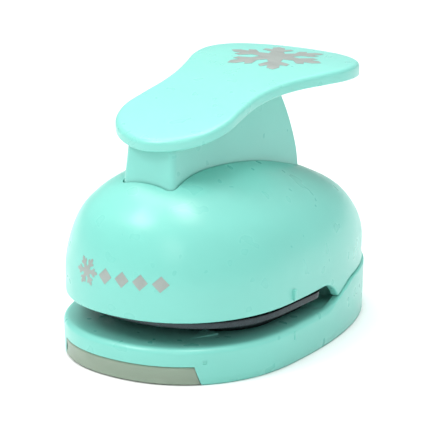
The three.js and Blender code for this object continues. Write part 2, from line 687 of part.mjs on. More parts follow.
// A motif pressed onto the dome's front as a thin skin
function frontPrint(outline) {
  const skin = cut(
    toSolid(loft(domeRings(-GAP - 0.25, 12, 12))), toSolid(loft(domeRings(-GAP, 11, 12))),
  );
  const options = { depth: FRONT_LENGTH, bevelEnabled: false };
  const cutter = new THREE.ExtrudeGeometry(new THREE.Shape(outline), options)
    .rotateX(Math.PI / 2).translate(0, WIDEST_Y - FRONT_LENGTH / 3, 0);
  return skin.intersect(toSolid(cutter));
}

function diamond(x, z, size) {
  return [at(x + size, z), at(x, z + size), at(x - size, z), at(x, z - size)];
}

// ---- Assembly ------------------------------------------------------------------------
addPiece('base_shell', buildBase(), MINT);
addPiece('dome_cover', buildDome(), MINT);
addPiece('lever', buildLever(), MINT_LEVER);
addPiece('lever_print', buildLeverPrint(), SILVER_PRINT);

const star = snowflake(FRONT_PRINT.star, 0, { x: FRONT_PRINT.x, y: FRONT_PRINT.z });
addPiece('front_print_star', frontPrint(star), SILVER_PRINT);
FRONT_PRINT.dots.forEach((x, i) => {
  const outline = diamond(x, FRONT_PRINT.z, FRONT_PRINT.dot);
  addPiece(`front_print_dot_${i + 1}`, frontPrint(outline), SILVER_PRINT);
});

addPiece('pivot_pin', rod(PIVOT.pin, -PIN_END, PIN_END, PIVOT.y, PIVOT.z, 24), BRIGHT_STEEL);
addPiece('plunger_head', buildHead(), WHITE_ACETAL);
addPiece('snowflake_punch', buildPunch(), BRIGHT_STEEL);
addPiece('guide_plate', buildGuidePlate(), DARK_STEEL);
addPiece('die_plate', buildDiePlate(), DARK_STEEL);
addPiece('chip_tray', buildTray(), SMOKED_CLEAR);
const trayPin = rod(
  TRAY_HINGE.radius, -TRAY_PIN_END, TRAY_PIN_END, TRAY_HINGE.y, TRAY_HINGE.z);
addPiece('tray_pin', trayPin, BRIGHT_STEEL);

const SIDES = [{ side: -1, word: 'left' }, { side: 1, word: 'right' }];
SIDES.forEach(({ side, word }) => {
  const clipAt = side * (EAR.inner + EAR.thickness + 2 * CLIP.half);
  const near = clipAt - OVERCUT;
  const far = clipAt + OVERCUT;
  const clip = cut(
    rod(CLIP.radius, clipAt - CLIP.half, clipAt + CLIP.half, PIVOT.y, PIVOT.z, 24),
    rod(PIVOT.pin + CLIP.grip, near, far, PIVOT.y, PIVOT.z, 24),
    box([near, PIVOT.y - CLIP.mouth, PIVOT.z - CLIP.radius - OVERCUT],
      [far, PIVOT.y + CLIP.mouth, PIVOT.z]),
  );
  addPiece(`pivot_clip_${word}`, clip, SPRING_STEEL);
  addPiece(`punch_screw_${word}`, buildPunchScrew(side), ZINC);
  const guidePost = post(POST.radius, side * POST.x, WIDEST_Y, GUIDE_PLATE.bottom, POST.top);
  addPiece(`guide_post_${word}`, guidePost, BRIGHT_STEEL);
  addPiece(`return_spring_${word}`, buildSpring(side), SPRING_STEEL);
  addPiece(`frame_spacer_${word}`, buildSpacer(side), ZINC);
  SCREW_PLACES.forEach(({ name, x, y }) => {
    const head = post(SCREW.head, side * x, y, DECK_BOTTOM - GAP - SCREW.headHeight,
      DECK_BOTTOM - GAP);
    const shank = post(SCREW.radius, side * x, y, DECK_BOTTOM - OVERCUT, SCREW.top);
    addPiece(`housing_screw_${name}_${word}`, join(shank, head), ZINC);
  });
});
RIVET_PLACES.forEach((place) => {
  addPiece(`frame_rivet_${place.name}`, buildRivet(place), ZINC);
});

export default punch;
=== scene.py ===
import math

import bmesh
import bpy
import numpy as np
from bpy.props import FloatProperty, FloatVectorProperty, IntProperty, PointerProperty
from mathutils import Matrix, Vector


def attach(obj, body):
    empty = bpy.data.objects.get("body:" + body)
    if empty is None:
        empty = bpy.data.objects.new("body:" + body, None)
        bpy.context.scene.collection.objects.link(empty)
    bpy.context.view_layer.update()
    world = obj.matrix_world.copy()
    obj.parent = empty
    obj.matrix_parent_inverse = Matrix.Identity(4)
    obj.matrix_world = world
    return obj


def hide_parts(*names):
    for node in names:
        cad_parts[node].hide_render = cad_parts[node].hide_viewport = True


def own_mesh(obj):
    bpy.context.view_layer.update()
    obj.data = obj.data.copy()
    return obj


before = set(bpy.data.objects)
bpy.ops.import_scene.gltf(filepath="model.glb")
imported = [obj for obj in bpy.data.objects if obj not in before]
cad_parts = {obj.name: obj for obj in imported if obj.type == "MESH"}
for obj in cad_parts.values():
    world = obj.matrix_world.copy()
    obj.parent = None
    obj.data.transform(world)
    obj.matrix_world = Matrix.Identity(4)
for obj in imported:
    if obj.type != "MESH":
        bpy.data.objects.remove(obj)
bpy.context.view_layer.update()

bl_info = {
    "name": "Lever Craft Punch",
    "version": (1, 0, 0),
    "blender": (4, 5, 0),
    "location": "3D View > Sidebar > Craft Punch",
    "description": "Builds the shells, lever, chip tray and steel works of a palm lever craft punch",
    "category": "Object",
}

# ---- Sizes shared with the frame, in millimetres ----------------------------------------
# Every shape below is worked out in millimetres; new_object turns it into metres.
MM = 0.001
GAP = 0.3
CHAMFER = 0.3
WELD = 0.002 * MM  # points closer than this are one point
BEVEL_ANGLE = math.radians(38)  # edges that turn more than this are rounded
SHARP_ANGLE = math.radians(35)  # edges that turn more than this are shaded sharp
WALL = 2.2

# Footprint: a superellipse, widest ahead of its middle
HALF_WIDTH = 33
FRONT_LENGTH = 36.7
REAR_LENGTH = 67.8
OVAL_POWER = 2.19
WIDEST_Y = (FRONT_LENGTH - REAR_LENGTH) / 2

# Housing
DECK_TOP = 10.2
DECK_BOTTOM = 8
MOUTH_TOP = 17.2
SEAM_TOP = 14.5
RAMP_FROM, RAMP_TO = 2, 24
RIM_FLARE = 0.36
MOUTH_END_Y, MOUTH_END_RADIUS, MOUTH_END_REAR = 1.5, 11.1, 11
WINDOW_RADIUS = 19.1
TICK_SUNK, TICK_PROUD, TICK_CHAMFER = 1, 0.55, 0.25
TICK_ENDS = 0.4, 1.6  # behind the widest line
BASE_TICK, DOME_TICK = (6.8, 9.2), (18, 21)
LEAD_IN = [(15.4, -38.6), (19.6, -31.5), (14.8, -31.5)]
LEAD_IN_RISE = 0.02, 0.5, 0.8  # above the deck at each corner
LEAD_IN_SUNK = 0.5
MARK_PLACE, MARK_TURN = (23.6, -43.35, 6.5), math.radians(38)

# Dome: its outline as (ring size, share of the height), and how it shrinks and leans
DOME_HEIGHT = 36.4
DOME_INSET = 0.33
DOME_LEAN = 0.087
DOME_OUTLINE = [
    (1, 0), (0.998, 0.22), (0.949, 0.42), (0.854, 0.6), (0.708, 0.74), (0.535, 0.85),
    (0.361, 0.93), (0.158, 0.98), (0.01, 1),
]
DOME_SHRINK_FRONT, DOME_SHRINK_REAR = 0.74, 0.98
SKIRT_LOW, SKIRT_OUTSET = 9, 0.25
STRAIGHT_SHARE = 0.22  # share of the height below which the wall is nearly upright

# Lever
PIVOT_Y, PIVOT_Z = -31.2, 36.5
PIVOT_BOSS, PIVOT_PIN = 5, 2
PLATE_Z, PLATE_SLOPE = 72.4, math.tan(math.radians(10))
PLATE_CROWN, PLATE_CROWN_Y = 0.00304, -7
PLATE_THICKNESS = 3.3
PLATE_MIDDLE_Y = 2
PALM_THICKER, PALM_Y = 0.9, 42  # how much thicker the palm end is, and where it is reached
UNDER_ROUND = 0.6  # radius under the rim, as a share of the radius above it
PLATE_EDGE = [
    (0, -38.3), (9.8, -35.4), (15.4, -30), (17.5, -23.5), (16.9, -16), (16.3, -8), (17.2, 0),
    (19.6, 8), (22.9, 16.5), (24.4, 25), (22.3, 33.8), (17.2, 39.8), (9.8, 44.2), (0, 45.9),
]
WEB_HALF, WEB_FRONT, WEB_REACH = 8.5, -36.2, 55.8
WEB_HEIGHTS, WEB_HALVES = (25, 49, 54, 60, 70), (8.5, 8.5, 8.2, 7.9, 7.5)
WEB_LEAN_HEIGHTS, WEB_LEAN_FRONTS = (48, 54, 60), (-37, -36.2, -35.4)  # how the web's front leans
WEB_FOOT_PLACES, WEB_FOOT_HEIGHTS = (WEB_FRONT, -11.5, 24.6), (PIVOT_Z, 38.5, 41.5)
WEB_SEAM = 0.6  # how far the web's top runs up into the plate
CONTACT_RADIUS = 3
EAR_GAP, EAR_THICKNESS = 0.6, 3
EAR_TOP = 46.5
EAR_OUTER = WEB_HALF + EAR_GAP + EAR_THICKNESS
PIN_END = EAR_OUTER + 2.3
BORE_END = 20  # half length of the pin cutters in the shells and the lever
PIN_PLAY = 0.1
CLIP_RADIUS, CLIP_HALF = 4, 0.4
SLOT_GAP, SLOT_REAR_GAP, SLOT_CORNER, SLOT_TOP = 0.25, 0.4, 2.2, 70
RIB_HALF, RIB_TOP = 1.5, 61

# Steel works
MOTIF_RADIUS = 17.6
DIE_CLEARANCE = 0.35
DIE_LOW, DIE_HIGH = 10.5, 11.9
GUIDE_LOW, GUIDE_HIGH = 14, 15.8
PUNCH_LOW, PUNCH_HIGH = 14.5, 25.7
HEAD_LOW, HEAD_HIGH = 26, 30
POST_X, POST_RADIUS, POST_TOP = 23.5, 1.5, 38
PUNCH_SCREW_X, PUNCH_HOLE_RADIUS, PUNCH_SCREW_DEPTH = 12, 1.6, 6
HUB_RADIUS, DISC_RADIUS = 7, 18.5
WING_X, WING_Y, WING_STEP = 27, 6, 1  # half length, half width, and how much lower than the disc
SPRING_RADIUS = 2.7
GUIDE_PLATE, DIE_PLATE = (30.6, 30, 5), (25.5, 18.9, 4)  # half width, front length, shoulder
SHOULDER_RADIUS = 5
TAIL_HALF, TAIL_END = 17, 28
SPACER_NEAR, SPACER_FAR, SPACER_FRONT = 4, 16, 10
RIVET_HOLE = 2.3
RIVET_PLACES = {
    "front_left": (-10, 14), "front_right": (10, 14),
    "rear_left": (-10, 24), "rear_right": (10, 24),
}
SCREW_PLACES = {"front": (22, 17), "rear": (14, 38)}
SCREW_RADIUS, SCREW_HEAD = 1.4, 2.6
BOSS_RADIUS, COLUMN_RADIUS = 4, 3.4
ROOF_COVER = 0.7  # how far a screw column stays under the dome's outer face
TRAY_REAR, TRAY_LIP, TRAY_LIP_TOP = 10, 21.3, 5.2
LIP_GAP = 0.14
TRAY_SHRINK = WALL + GAP + 0.2  # from the base's outer face in to the tray's
TRAY_PIN_END, TRAY_BORE_END = 17.2, 16
TRAY_EAR_HALF, TRAY_EAR_RADIUS, TRAY_EAR_LOW, TRAY_EAR_HIGH = 1.4, 2.2, 1.6, 6
TRAY_FLOOR, TRAY_TOP, TRAY_WALL = 0.3, 7.3, 1.2
TRAY_HINGE_Y, TRAY_HINGE_Z, TRAY_PIN = 14.5, 3.9, 1.2
TRAY_LUG, TRAY_EAR = 15.8, 12.4
LIP_SLANT = 0.24  # how much the finger lip widens for each mm down
SIDES = {"left": -1, "right": 1}

# Prints
LEVER_PRINT_RADIUS, LEVER_PRINT_Y = 15.2, 25
FRONT_PRINT_Z, FRONT_STAR, FRONT_STAR_X = 27.8, 4.2, -10
FRONT_DIAMOND, FRONT_DIAMOND_PLACES = 2.2, (-3, 2.5, 8, 13.5)
DICE, LEVER_DICE = 0.5, 0.6  # how finely a print is cut up so that it can bend

# Camera and lights, in metres
LIGHT_AIM = (0, -0.005, 0.035)
SOFTBOXES = {  # place, size and power in watts
    "Softbox left": ((-0.32, -0.55, 0.8), 0.34, 3.1),
    "Softbox right": ((0.22, -0.1, 1.0), 0.3, 2.2),
    "Softbox front": ((0.4, -0.9, 0.5), 0.3, 0.9),
}
CEILING_STRENGTH, CEILING_SPREAD = 1.7, math.radians(50)
CEILING_TILT = (math.radians(-8), math.radians(-14), 0)
SKY_HORIZON, SKY_ZENITH = 0.3, 1.0
CAMERA_PLACE, CAMERA_AIM = (0.40433, -0.5821, 0.23896), (0.00004, -0.00509, 0.03417)
CAMERA_LENS, CAMERA_SENSOR = 221.05, 36  # millimetres
FLOOR_REACH = 6


# ---- Colours ---------------------------------------------------------------------------
def linear(hex_colour):
    """An sRGB hex colour as linear red, green and blue."""
    channels = [int(hex_colour[i:i + 2], 16) / 255 for i in (1, 3, 5)]
    return tuple(c / 12.92 if c <= 0.04045 else ((c + 0.055) / 1.055) ** 2.4 for c in channels)


def colour_setting(name, hex_colour, description):
    return FloatVectorProperty(
        name=name, description=description, subtype="COLOR", min=0, max=1,
        default=linear(hex_colour))


def length_setting(name, millimetres, description):
    return FloatProperty(
        name=name, description=description, unit="LENGTH", min=0, precision=5,
        default=millimetres * MM)


class PunchSizes(bpy.types.PropertyGroup):
    """Finishing sizes that can change without moving any part"""
    wall: length_setting("Shell wall", WALL, "Thickness of the two moulded shells")
    deck_round: length_setting("Deck rim radius", 1.6, "Radius where the base wall turns into the deck")
    edge_round: length_setting("Mouth edge radius", 0.5, "Radius along the lower edge of the dome")
    slot_round: length_setting("Slot edge radius", 0.3, "Radius round the lever slot")
    lever_round: length_setting("Lever rim radius", 1.3, "Radius round the rim of the lever plate")
    web_round: length_setting("Lever web radius", 2.0, "Radius of the two front corners of the lever web")
    print_height: length_setting("Print height", 0.06, "How far printed ink stands proud")
    steel_edge: length_setting("Stamped edge", 0.15, "Break along the edges of the stamped plates")
    spring_wire: length_setting("Spring wire", 0.8, "Diameter of the return spring wire")
    spring_turns: IntProperty(
        name="Spring turns", description="Working turns of each return spring", min=3, max=9, default=5)


class PunchColours(bpy.types.PropertyGroup):
    """Colours of the moulded, printed and plated surfaces"""
    shell: colour_setting("Shells", "#7bcdc0", "Mint of the two housing shells")
    # Painted light: the lever's mint is the shells' mint made lighter, so that the lever's top plate,
    # which faces the top lamps, comes out brighter
    lever: colour_setting("Lever", "#80d0c4", "Mint of the lever, a little lighter than the shells")
    ink: colour_setting("Ink", "#9fa8a3", "Silver of the printed motifs")
    tray: colour_setting("Tray", "#a3b6a2", "Tint of the translucent chip tray")
    steel: colour_setting("Oiled steel", "#3c4346", "Stamped guide and die plates")
    bright: colour_setting("Ground steel", "#c4c8ca", "Punch, posts and pins")
    zinc: colour_setting("Zinc", "#b4b9bc", "Screws, rivets and spacers")
    spring: colour_setting("Spring wire", "#8f9599", "Drawn spring wire and clips")
    acetal: colour_setting("Acetal", "#ecebe6", "Plunger head")
    floor: colour_setting("Floor", "#f4f5f5", "Pale studio floor")


# ---- Mesh tools ------------------------------------------------------------------------
def signed_power(value, power):
    return math.copysign(abs(value) ** power, value)


def resample(points, count):
    """The same line with count points at even distances, both ends kept."""
    points = np.array(points, float)
    steps = np.r_[0, np.cumsum(np.linalg.norm(np.diff(points, axis=0), axis=1))]
    wanted = np.linspace(0, steps[-1], count)
    return np.column_stack([np.interp(wanted, steps, column) for column in points.T])


def between(a, b, start, end, t):
    return a.lerp(b, (t - start) / (end - start))


def through(points, count, power=0.0, closed=False):
    """A smooth line through points, as count points at even distances.

    power 0 spaces the knots evenly and power 0.5 by the square root of their distance."""
    knots = [Vector(p) for p in points]
    total = len(knots)
    fine = []
    for i in range(total if closed else total - 1):
        if closed:
            near = [knots[(i + k) % total] for k in (-1, 0, 1, 2)]
        else:
            near = [knots[min(max(i + k, 0), total - 1)] for k in (-1, 0, 1, 2)]
        gaps = [max((b - a).length, 1e-6) ** power for a, b in zip(near, near[1:])]
        times = [0, gaps[0], gaps[0] + gaps[1], sum(gaps)]
        for step in range(24):
            t = times[1] + (times[2] - times[1]) * step / 24
            a, b, c = [between(near[k], near[k + 1], times[k], times[k + 1], t) for k in range(3)]
            a, b = between(a, b, times[0], times[2], t), between(b, c, times[1], times[3], t)
            fine.append(between(a, b, times[1], times[2], t))
    fine.append(knots[0] if closed else knots[-1])
    line = resample(fine, count + 1 if closed else count)
    return line[:-1] if closed else line


def grow_outline(points, grow):
    """A closed outline, listed anticlockwise, with every side moved outwards."""
    grown = []
    for i, point in enumerate(points):
        before = Vector(points[i]) - Vector(points[i - 1])
        after = Vector(points[(i + 1) % len(points)]) - Vector(points[i])
        first = Vector((before.y, -before.x)).normalized()
        second = Vector((after.y, -after.x)).normalized()
        moved = Vector(point) + (first + second) * (grow / (1 + first.dot(second)))
        grown.append((moved.x, moved.y))
    return grown


def skin(columns, closed_path=False, wrap=True):
    """Points and quads between neighbouring columns of equal length.

    closed_path joins each column's ends, and wrap joins the last column to the first."""
    height = len(columns[0])
    points = [p for column in columns for p in column]
    faces = []
    for i in range(len(columns) if wrap else len(columns) - 1):
        here, there = i * height, (i + 1) % len(columns) * height
        for k in range(height if closed_path else height - 1):
            up = (k + 1) % height
            faces.append((here + k, there + k, there + up, here + up))
    if closed_path and not wrap:
        last = (len(columns) - 1) * height
        faces.append(tuple(range(height)))
        faces.append(tuple(last + k for k in range(height)))
    return points, faces


def turned(profile, sides):
    """A shape turned on a lathe: profile lists (radius, height) from end to end."""
    columns = []
    for i in range(sides):
        angle = 2 * math.pi * i / sides
        columns.append([(r * math.cos(angle), r * math.sin(angle), z) for r, z in profile])
    return skin(columns)


def rod_profile(radius, low, high, chamfer):
    return [(0, low), (radius - chamfer, low), (radius, low + chamfer),
            (radius, high - chamfer), (radius - chamfer, high), (0, high)]


def placed(shape, matrix):
    points, faces = shape
    return [tuple(matrix @ Vector(p)) for p in points], faces


def standing(shape, x, y):
    return placed(shape, Matrix.Translation((x, y, 0)))


def rod(radius, low, high, x, y, sides, chamfer=CHAMFER):
    """An upright rod with chamfered ends."""
    return standing(turned(rod_profile(radius, low, high, chamfer), sides), x, y)


def rod_across(radius, low, high, y, z, sides, chamfer=CHAMFER):
    """A rod laid along X from low to high."""
    lying = Matrix.Translation((0, y, z)) @ Matrix.Rotation(math.pi / 2, 4, "Y")
    return placed(turned(rod_profile(radius, low, high, chamfer), sides), lying)


def block(low, high, chamfer=CHAMFER):
    """A block with chamfered edges, as points and faces."""
    mesh = bmesh.new()
    bmesh.ops.create_cube(mesh, size=1)
    size = [b - a for a, b in zip(low, high)]
    middle = [(a + b) / 2 for a, b in zip(low, high)]
    for vertex in mesh.verts:
        vertex.co = [m + c * s for m, c, s in zip(middle, vertex.co, size)]
    if chamfer:
        bmesh.ops.bevel(
            mesh, geom=mesh.edges[:], offset=chamfer, segments=2, profile=0.5, affect="EDGES")
    mesh.verts.index_update()
    shape = ([tuple(v.co) for v in mesh.verts], [tuple(v.index for v in f.verts) for f in mesh.faces])
    mesh.free()
    return shape


def flat_part(outlines, low, high, edge):
    """A flat part with rounded edges; the first outline is its outside, the others are holes."""
    curve = bpy.data.curves.new("blank", "CURVE")
    curve.dimensions, curve.fill_mode = "2D", "BOTH"
    curve.extrude = (high - low) / 2 - edge
    curve.bevel_depth, curve.bevel_resolution, curve.offset = edge, 1, -edge
    for outline in outlines:
        spline = curve.splines.new("POLY")
        spline.points.add(len(outline) - 1)
        for point, (x, y) in zip(spline.points, outline):
            point.co = (x, y, 0, 1)
        spline.use_cyclic_u = True
    drawn = bpy.data.objects.new("blank", curve)
    bpy.context.scene.collection.objects.link(drawn)
    bpy.context.view_layer.update()
    solid = bpy.data.meshes.new_from_object(drawn.evaluated_get(bpy.context.evaluated_depsgraph_get()))
    bpy.data.objects.remove(drawn)
    middle = (low + high) / 2
    shape = ([(v.co.x, v.co.y, v.co.z + middle) for v in solid.vertices],
             [tuple(p.vertices) for p in solid.polygons])
    bpy.data.meshes.remove(solid)
    return shape


def clean(mesh):
    """Joins points that coincide, drops faces with no area and turns every face outwards."""
    shape = bmesh.new()
    shape.from_mesh(mesh)
    bmesh.ops.remove_doubles(shape, verts=shape.verts[:], dist=WELD)
    bmesh.ops.dissolve_degenerate(shape, edges=shape.edges[:], dist=WELD)
    loose = [v for v in shape.verts if not v.link_faces]
    bmesh.ops.delete(shape, geom=loose, context="VERTS")
    bmesh.ops.recalc_face_normals(shape, faces=shape.faces[:])
    shape.to_mesh(mesh)
    shape.free()


def new_object(name, shape):
    points, faces = shape
    mesh = bpy.data.meshes.new(name)
    mesh.from_pydata([tuple(c * MM for c in p) for p in points], [], faces)
    clean(mesh)
    made = bpy.data.objects.new(name, mesh)
    bpy.context.scene.collection.objects.link(made)
    return made


def settle(piece):
    """Makes a piece's modifiers part of its mesh."""
    bpy.context.view_layer.update()
    shaped = piece.evaluated_get(bpy.context.evaluated_depsgraph_get())
    mesh = bpy.data.meshes.new_from_object(shaped)
    piece.modifiers.clear()
    before = piece.data
    piece.data = mesh
    bpy.data.meshes.remove(before)


def work(piece, shapes, operation="DIFFERENCE"):
    """Cuts shapes out of a piece, or joins them to it."""
    tools = []
    for shape in shapes:
        tool = new_object("tool", shape)
        tools.append(tool)
        change = piece.modifiers.new("work", "BOOLEAN")
        change.operation, change.solver, change.object = operation, "EXACT", tool
    settle(piece)
    for tool in tools:
        mesh = tool.data
        bpy.data.objects.remove(tool)
        bpy.data.meshes.remove(mesh)
    clean(piece.data)


def as_shape(piece):
    """A worked object turned back into points and faces in millimetres."""
    shape = ([tuple(v.co / MM) for v in piece.data.vertices],
             [tuple(p.vertices) for p in piece.data.polygons])
    bpy.data.objects.remove(piece)
    return shape


def add_piece(name, shape, slot, body, node, joined=(), cut=(), edge=0):
    """A finished piece: built, worked, edge-rounded, shaded, painted and set on its body."""
    piece = new_object(name, shape)
    if joined:
        work(piece, joined, "UNION")
    if cut:
        work(piece, cut)
    if edge:
        bevel = piece.modifiers.new("edge", "BEVEL")
        bevel.width, bevel.segments, bevel.limit_method = edge * MM, 2, "ANGLE"
        bevel.angle_limit = BEVEL_ANGLE
        bevel.use_clamp_overlap = True
        settle(piece)
        clean(piece.data)
    for polygon in piece.data.polygons:
        polygon.use_smooth = True
    piece.data.set_sharp_from_angle(angle=SHARP_ANGLE)
    return dress(piece, slot, body, node)


def dress(piece, slot, body, node):
    piece.data.materials.clear()
    piece.data.materials.append(finish_for(slot))
    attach(piece, body)
    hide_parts(node)
    return piece


# ---- Materials -------------------------------------------------------------------------
def add_node(tree, kind, settings=None, links=None):
    """Adds a node. Its settings fill its attributes or inputs, and links join outputs to inputs;
    an input goes by its name or its number."""
    made = tree.nodes.new(kind)
    for name, value in (settings or {}).items():
        if isinstance(name, int) or name in made.inputs:
            made.inputs[name].default_value = value
        else:
            setattr(made, name, value)
    for name, source in (links or {}).items():
        tree.links.new(source, made.inputs[name])
    return made


def new_material(name, **values):
    """A material with a Principled shader and the point on the object in metres."""
    material = bpy.data.materials.new(name)
    material.use_nodes = True
    tree = material.node_tree
    tree.nodes.clear()
    shader = add_node(tree, "ShaderNodeBsdfPrincipled", values)
    add_node(tree, "ShaderNodeOutputMaterial", links={"Surface": shader.outputs["BSDF"]})
    place = add_node(tree, "ShaderNodeTexCoord").outputs["Object"]
    return material, tree, shader, place


def rgba(colour, share=1.0):
    return (*(min(1, c * share) for c in colour), 1)


def noise(tree, place, size_mm, detail=2.0, roughness=0.5, stretch=None):
    """Noise whose largest features are about size_mm across, in the place's own metres."""
    if stretch:
        place = add_node(
            tree, "ShaderNodeMapping", {"Scale": stretch}, {"Vector": place}).outputs["Vector"]
    settings = {"Scale": 1 / (size_mm * MM), "Detail": detail, "Roughness": roughness}
    return add_node(tree, "ShaderNodeTexNoise", settings, {"Vector": place}).outputs["Fac"]


def spread(tree, value, low, high):
    """Maps a 0-1 pattern onto low-high."""
    return add_node(
        tree, "ShaderNodeMapRange", {"From Min": 0.3, "From Max": 0.7, "To Min": low, "To Max": high},
        {"Value": value}).outputs["Result"]


def two_tones(tree, pattern, colour, dark, light):
    """The colour, a little darker and lighter with a pattern."""
    ramp = add_node(tree, "ShaderNodeValToRGB", links={"Fac": pattern})
    ramp.color_ramp.elements[0].position, ramp.color_ramp.elements[1].position = 0.3, 0.7
    ramp.color_ramp.elements[0].color = rgba(colour, dark)
    ramp.color_ramp.elements[1].color = rgba(colour, light)
    return ramp.outputs["Color"]


def relief(tree, pattern, depth_mm, strength=1.0):
    settings = {"Strength": strength, "Distance": depth_mm * MM}
    return add_node(tree, "ShaderNodeBump", settings, {"Height": pattern}).outputs["Normal"]


def moulded_abs(name, colour):
    """Glossy injection-moulded ABS: a deep, even colour under a soft sheen, faint flow
    clouding over tens of millimetres, and the slight ripple a polished mould leaves."""
    material, tree, shader, place = new_material(
        name, **{"IOR": 1.53, "Subsurface Weight": 0.08, "Subsurface Scale": 1.2 * MM,
                 "Subsurface Radius": (0.6, 1.0, 0.9)})
    cloud = noise(tree, place, 24, 3)
    ripple = noise(tree, place, 5, 1)
    tree.links.new(two_tones(tree, cloud, colour, 0.975, 1.02), shader.inputs["Base Color"])
    tree.links.new(spread(tree, ripple, 0.27, 0.34), shader.inputs["Roughness"])
    tree.links.new(relief(tree, ripple, 0.012, 0.4), shader.inputs["Normal"])
    return material


def printed_ink(name, colour):
    """Pad-printed silver ink: fine metal flake in lacquer, so it glints unevenly and is
    slightly thinner in places."""
    material, tree, shader, place = new_material(
        name, **{"Metallic": 0.35, "IOR": 1.5, "Specular IOR Level": 0.5})
    flake = noise(tree, place, 0.5, 3, 0.7)
    thin = noise(tree, place, 4, 2)
    tree.links.new(two_tones(tree, thin, colour, 0.93, 1.04), shader.inputs["Base Color"])
    tree.links.new(spread(tree, flake, 0.34, 0.5), shader.inputs["Roughness"])
    tree.links.new(relief(tree, flake, 0.01, 0.5), shader.inputs["Normal"])
    return material


def stamped_steel(name, colour, roughness, lines=(1, 1, 1)):
    """Cold-rolled sheet with a film of oil: dark, with rolling lines and dull patches."""
    material, tree, shader, place = new_material(name, **{"Metallic": 1.0})
    rolled = noise(tree, place, 0.6, 3, 0.6, lines)
    film = noise(tree, place, 6, 3)
    tree.links.new(two_tones(tree, film, colour, 0.82, 1.1), shader.inputs["Base Color"])
    tree.links.new(spread(tree, rolled, roughness, roughness + 0.16), shader.inputs["Roughness"])
    tree.links.new(relief(tree, rolled, 0.01, 0.5), shader.inputs["Normal"])
    return material


def ground_steel(name, colour):
    """Ground and lapped tool steel: bright, with fine grinding lines one way."""
    return stamped_steel(name, colour, 0.16, (0.12, 1.6, 1.6))


def zinc_plate(name, colour):
    """Bright zinc plate: pale, faintly blue metal with the plating's small crystals."""
    material, tree, shader, place = new_material(name, **{"Metallic": 1.0})
    crystals = add_node(
        tree, "ShaderNodeTexVoronoi", {"Scale": 1 / (0.7 * MM)}, {"Vector": place}).outputs["Distance"]
    tree.links.new(two_tones(tree, crystals, colour, 0.9, 1.08), shader.inputs["Base Color"])
    tree.links.new(spread(tree, crystals, 0.28, 0.4), shader.inputs["Roughness"])
    return material


def drawn_wire(name, colour):
    """Hard-drawn spring wire: grey metal with fine marks along the wire."""
    return stamped_steel(name, colour, 0.24, (1, 1, 0.3))


def moulded_acetal(name, colour):
    """Natural acetal: waxy and slightly see-through white, with a soft low sheen."""
    material, tree, shader, place = new_material(
        name, **{"IOR": 1.48, "Subsurface Weight": 0.35, "Subsurface Scale": 2 * MM,
                 "Subsurface Radius": (1, 0.95, 0.85)})
    cloud = noise(tree, place, 8, 3)
    tree.links.new(two_tones(tree, cloud, colour, 0.96, 1.02), shader.inputs["Base Color"])
    tree.links.new(spread(tree, cloud, 0.42, 0.52), shader.inputs["Roughness"])
    tree.links.new(relief(tree, noise(tree, place, 0.5, 2), 0.01, 0.4), shader.inputs["Normal"])
    return material


def translucent_polypropylene(name, colour):
    """Moulded polypropylene, milky and tinted: light glows in it, and its surface is satin."""
    material, tree, shader, place = new_material(
        name, **{"IOR": 1.49, "Transmission Weight": 0.3, "Subsurface Weight": 0.4,
                 "Subsurface Scale": 2.5 * MM, "Subsurface Radius": (0.8, 1, 0.85)})
    cloud = noise(tree, place, 10, 3)
    satin = noise(tree, place, 0.4, 2)
    tree.links.new(two_tones(tree, cloud, colour, 0.96, 1.03), shader.inputs["Base Color"])
    tree.links.new(spread(tree, satin, 0.3, 0.4), shader.inputs["Roughness"])
    tree.links.new(relief(tree, satin, 0.008, 0.5), shader.inputs["Normal"])
    return material


def finish_for(slot):
    """The material for one of the frame's slots, made the first time it is asked for."""
    colours = bpy.context.scene.punch_colours
    makers = {
        "mint_plastic": ("Mint ABS, moulded", moulded_abs, colours.shell),
        # The lever gets the shells' ABS with a lighter colour, a painted highlight for its lit top plate
        "mint_lever_plastic": ("Pale mint ABS, moulded", moulded_abs, colours.lever),
        "silver_print": ("Silver ink, pad-printed", printed_ink, colours.ink),
        "dark_steel": ("Sheet steel, stamped and oiled", stamped_steel, colours.steel, 0.16),
        "bright_steel": ("Tool steel, ground", ground_steel, colours.bright),
        "zinc": ("Steel, zinc-plated", zinc_plate, colours.zinc),
        "spring_steel": ("Spring wire, drawn", drawn_wire, colours.spring),
        "white_acetal": ("Acetal, moulded", moulded_acetal, colours.acetal),
        "smoked_clear_plastic": (
            "Polypropylene, moulded", translucent_polypropylene, colours.tray),
    }
    name, maker, colour, *rest = makers[slot]
    return bpy.data.materials.get(name) or maker(name, tuple(colour), *rest)


# ---- Housing outlines ------------------------------------------------------------------
def column_angles():
    """Angles round the oval, closer together where the joint line ramps and curves."""
    angles = [2 * math.pi * i / 180 for i in range(180)]
    for y in [MOUTH_END_Y + 0.5 * i for i in range(20)] + [11.5 + i for i in range(14)]:
        rise = ((y - WIDEST_Y) / REAR_LENGTH) ** (OVAL_POWER / 2)
        angles += [math.asin(rise), math.pi - math.asin(rise)]
    kept = []
    for angle in sorted(angles):
        if not kept or angle - kept[-1] > 0.006:
            kept.append(angle)
    return kept


ANGLES = column_angles()


def oval_point(angle, half, front, rear):
    """Where the superellipse passes, in the plane."""
    along = signed_power(math.sin(angle), 2 / OVAL_POWER)
    x = half * signed_power(math.cos(angle), 2 / OVAL_POWER)
    return x, WIDEST_Y + along * (front if along < 0 else rear)


def base_point(angle, grow, z):
    return (*oval_point(angle, HALF_WIDTH + grow, FRONT_LENGTH + grow, REAR_LENGTH + grow), z)


def ramp_share(y):
    """0 where the mouth is open, 1 where the two shells meet at full height."""
    t = min(max((y - RAMP_FROM) / (RAMP_TO - RAMP_FROM), 0), 1)
    return (1 - math.cos(math.pi * t)) / 2


def seam_height(y):
    return DECK_TOP + (SEAM_TOP - DECK_TOP) * ramp_share(y)


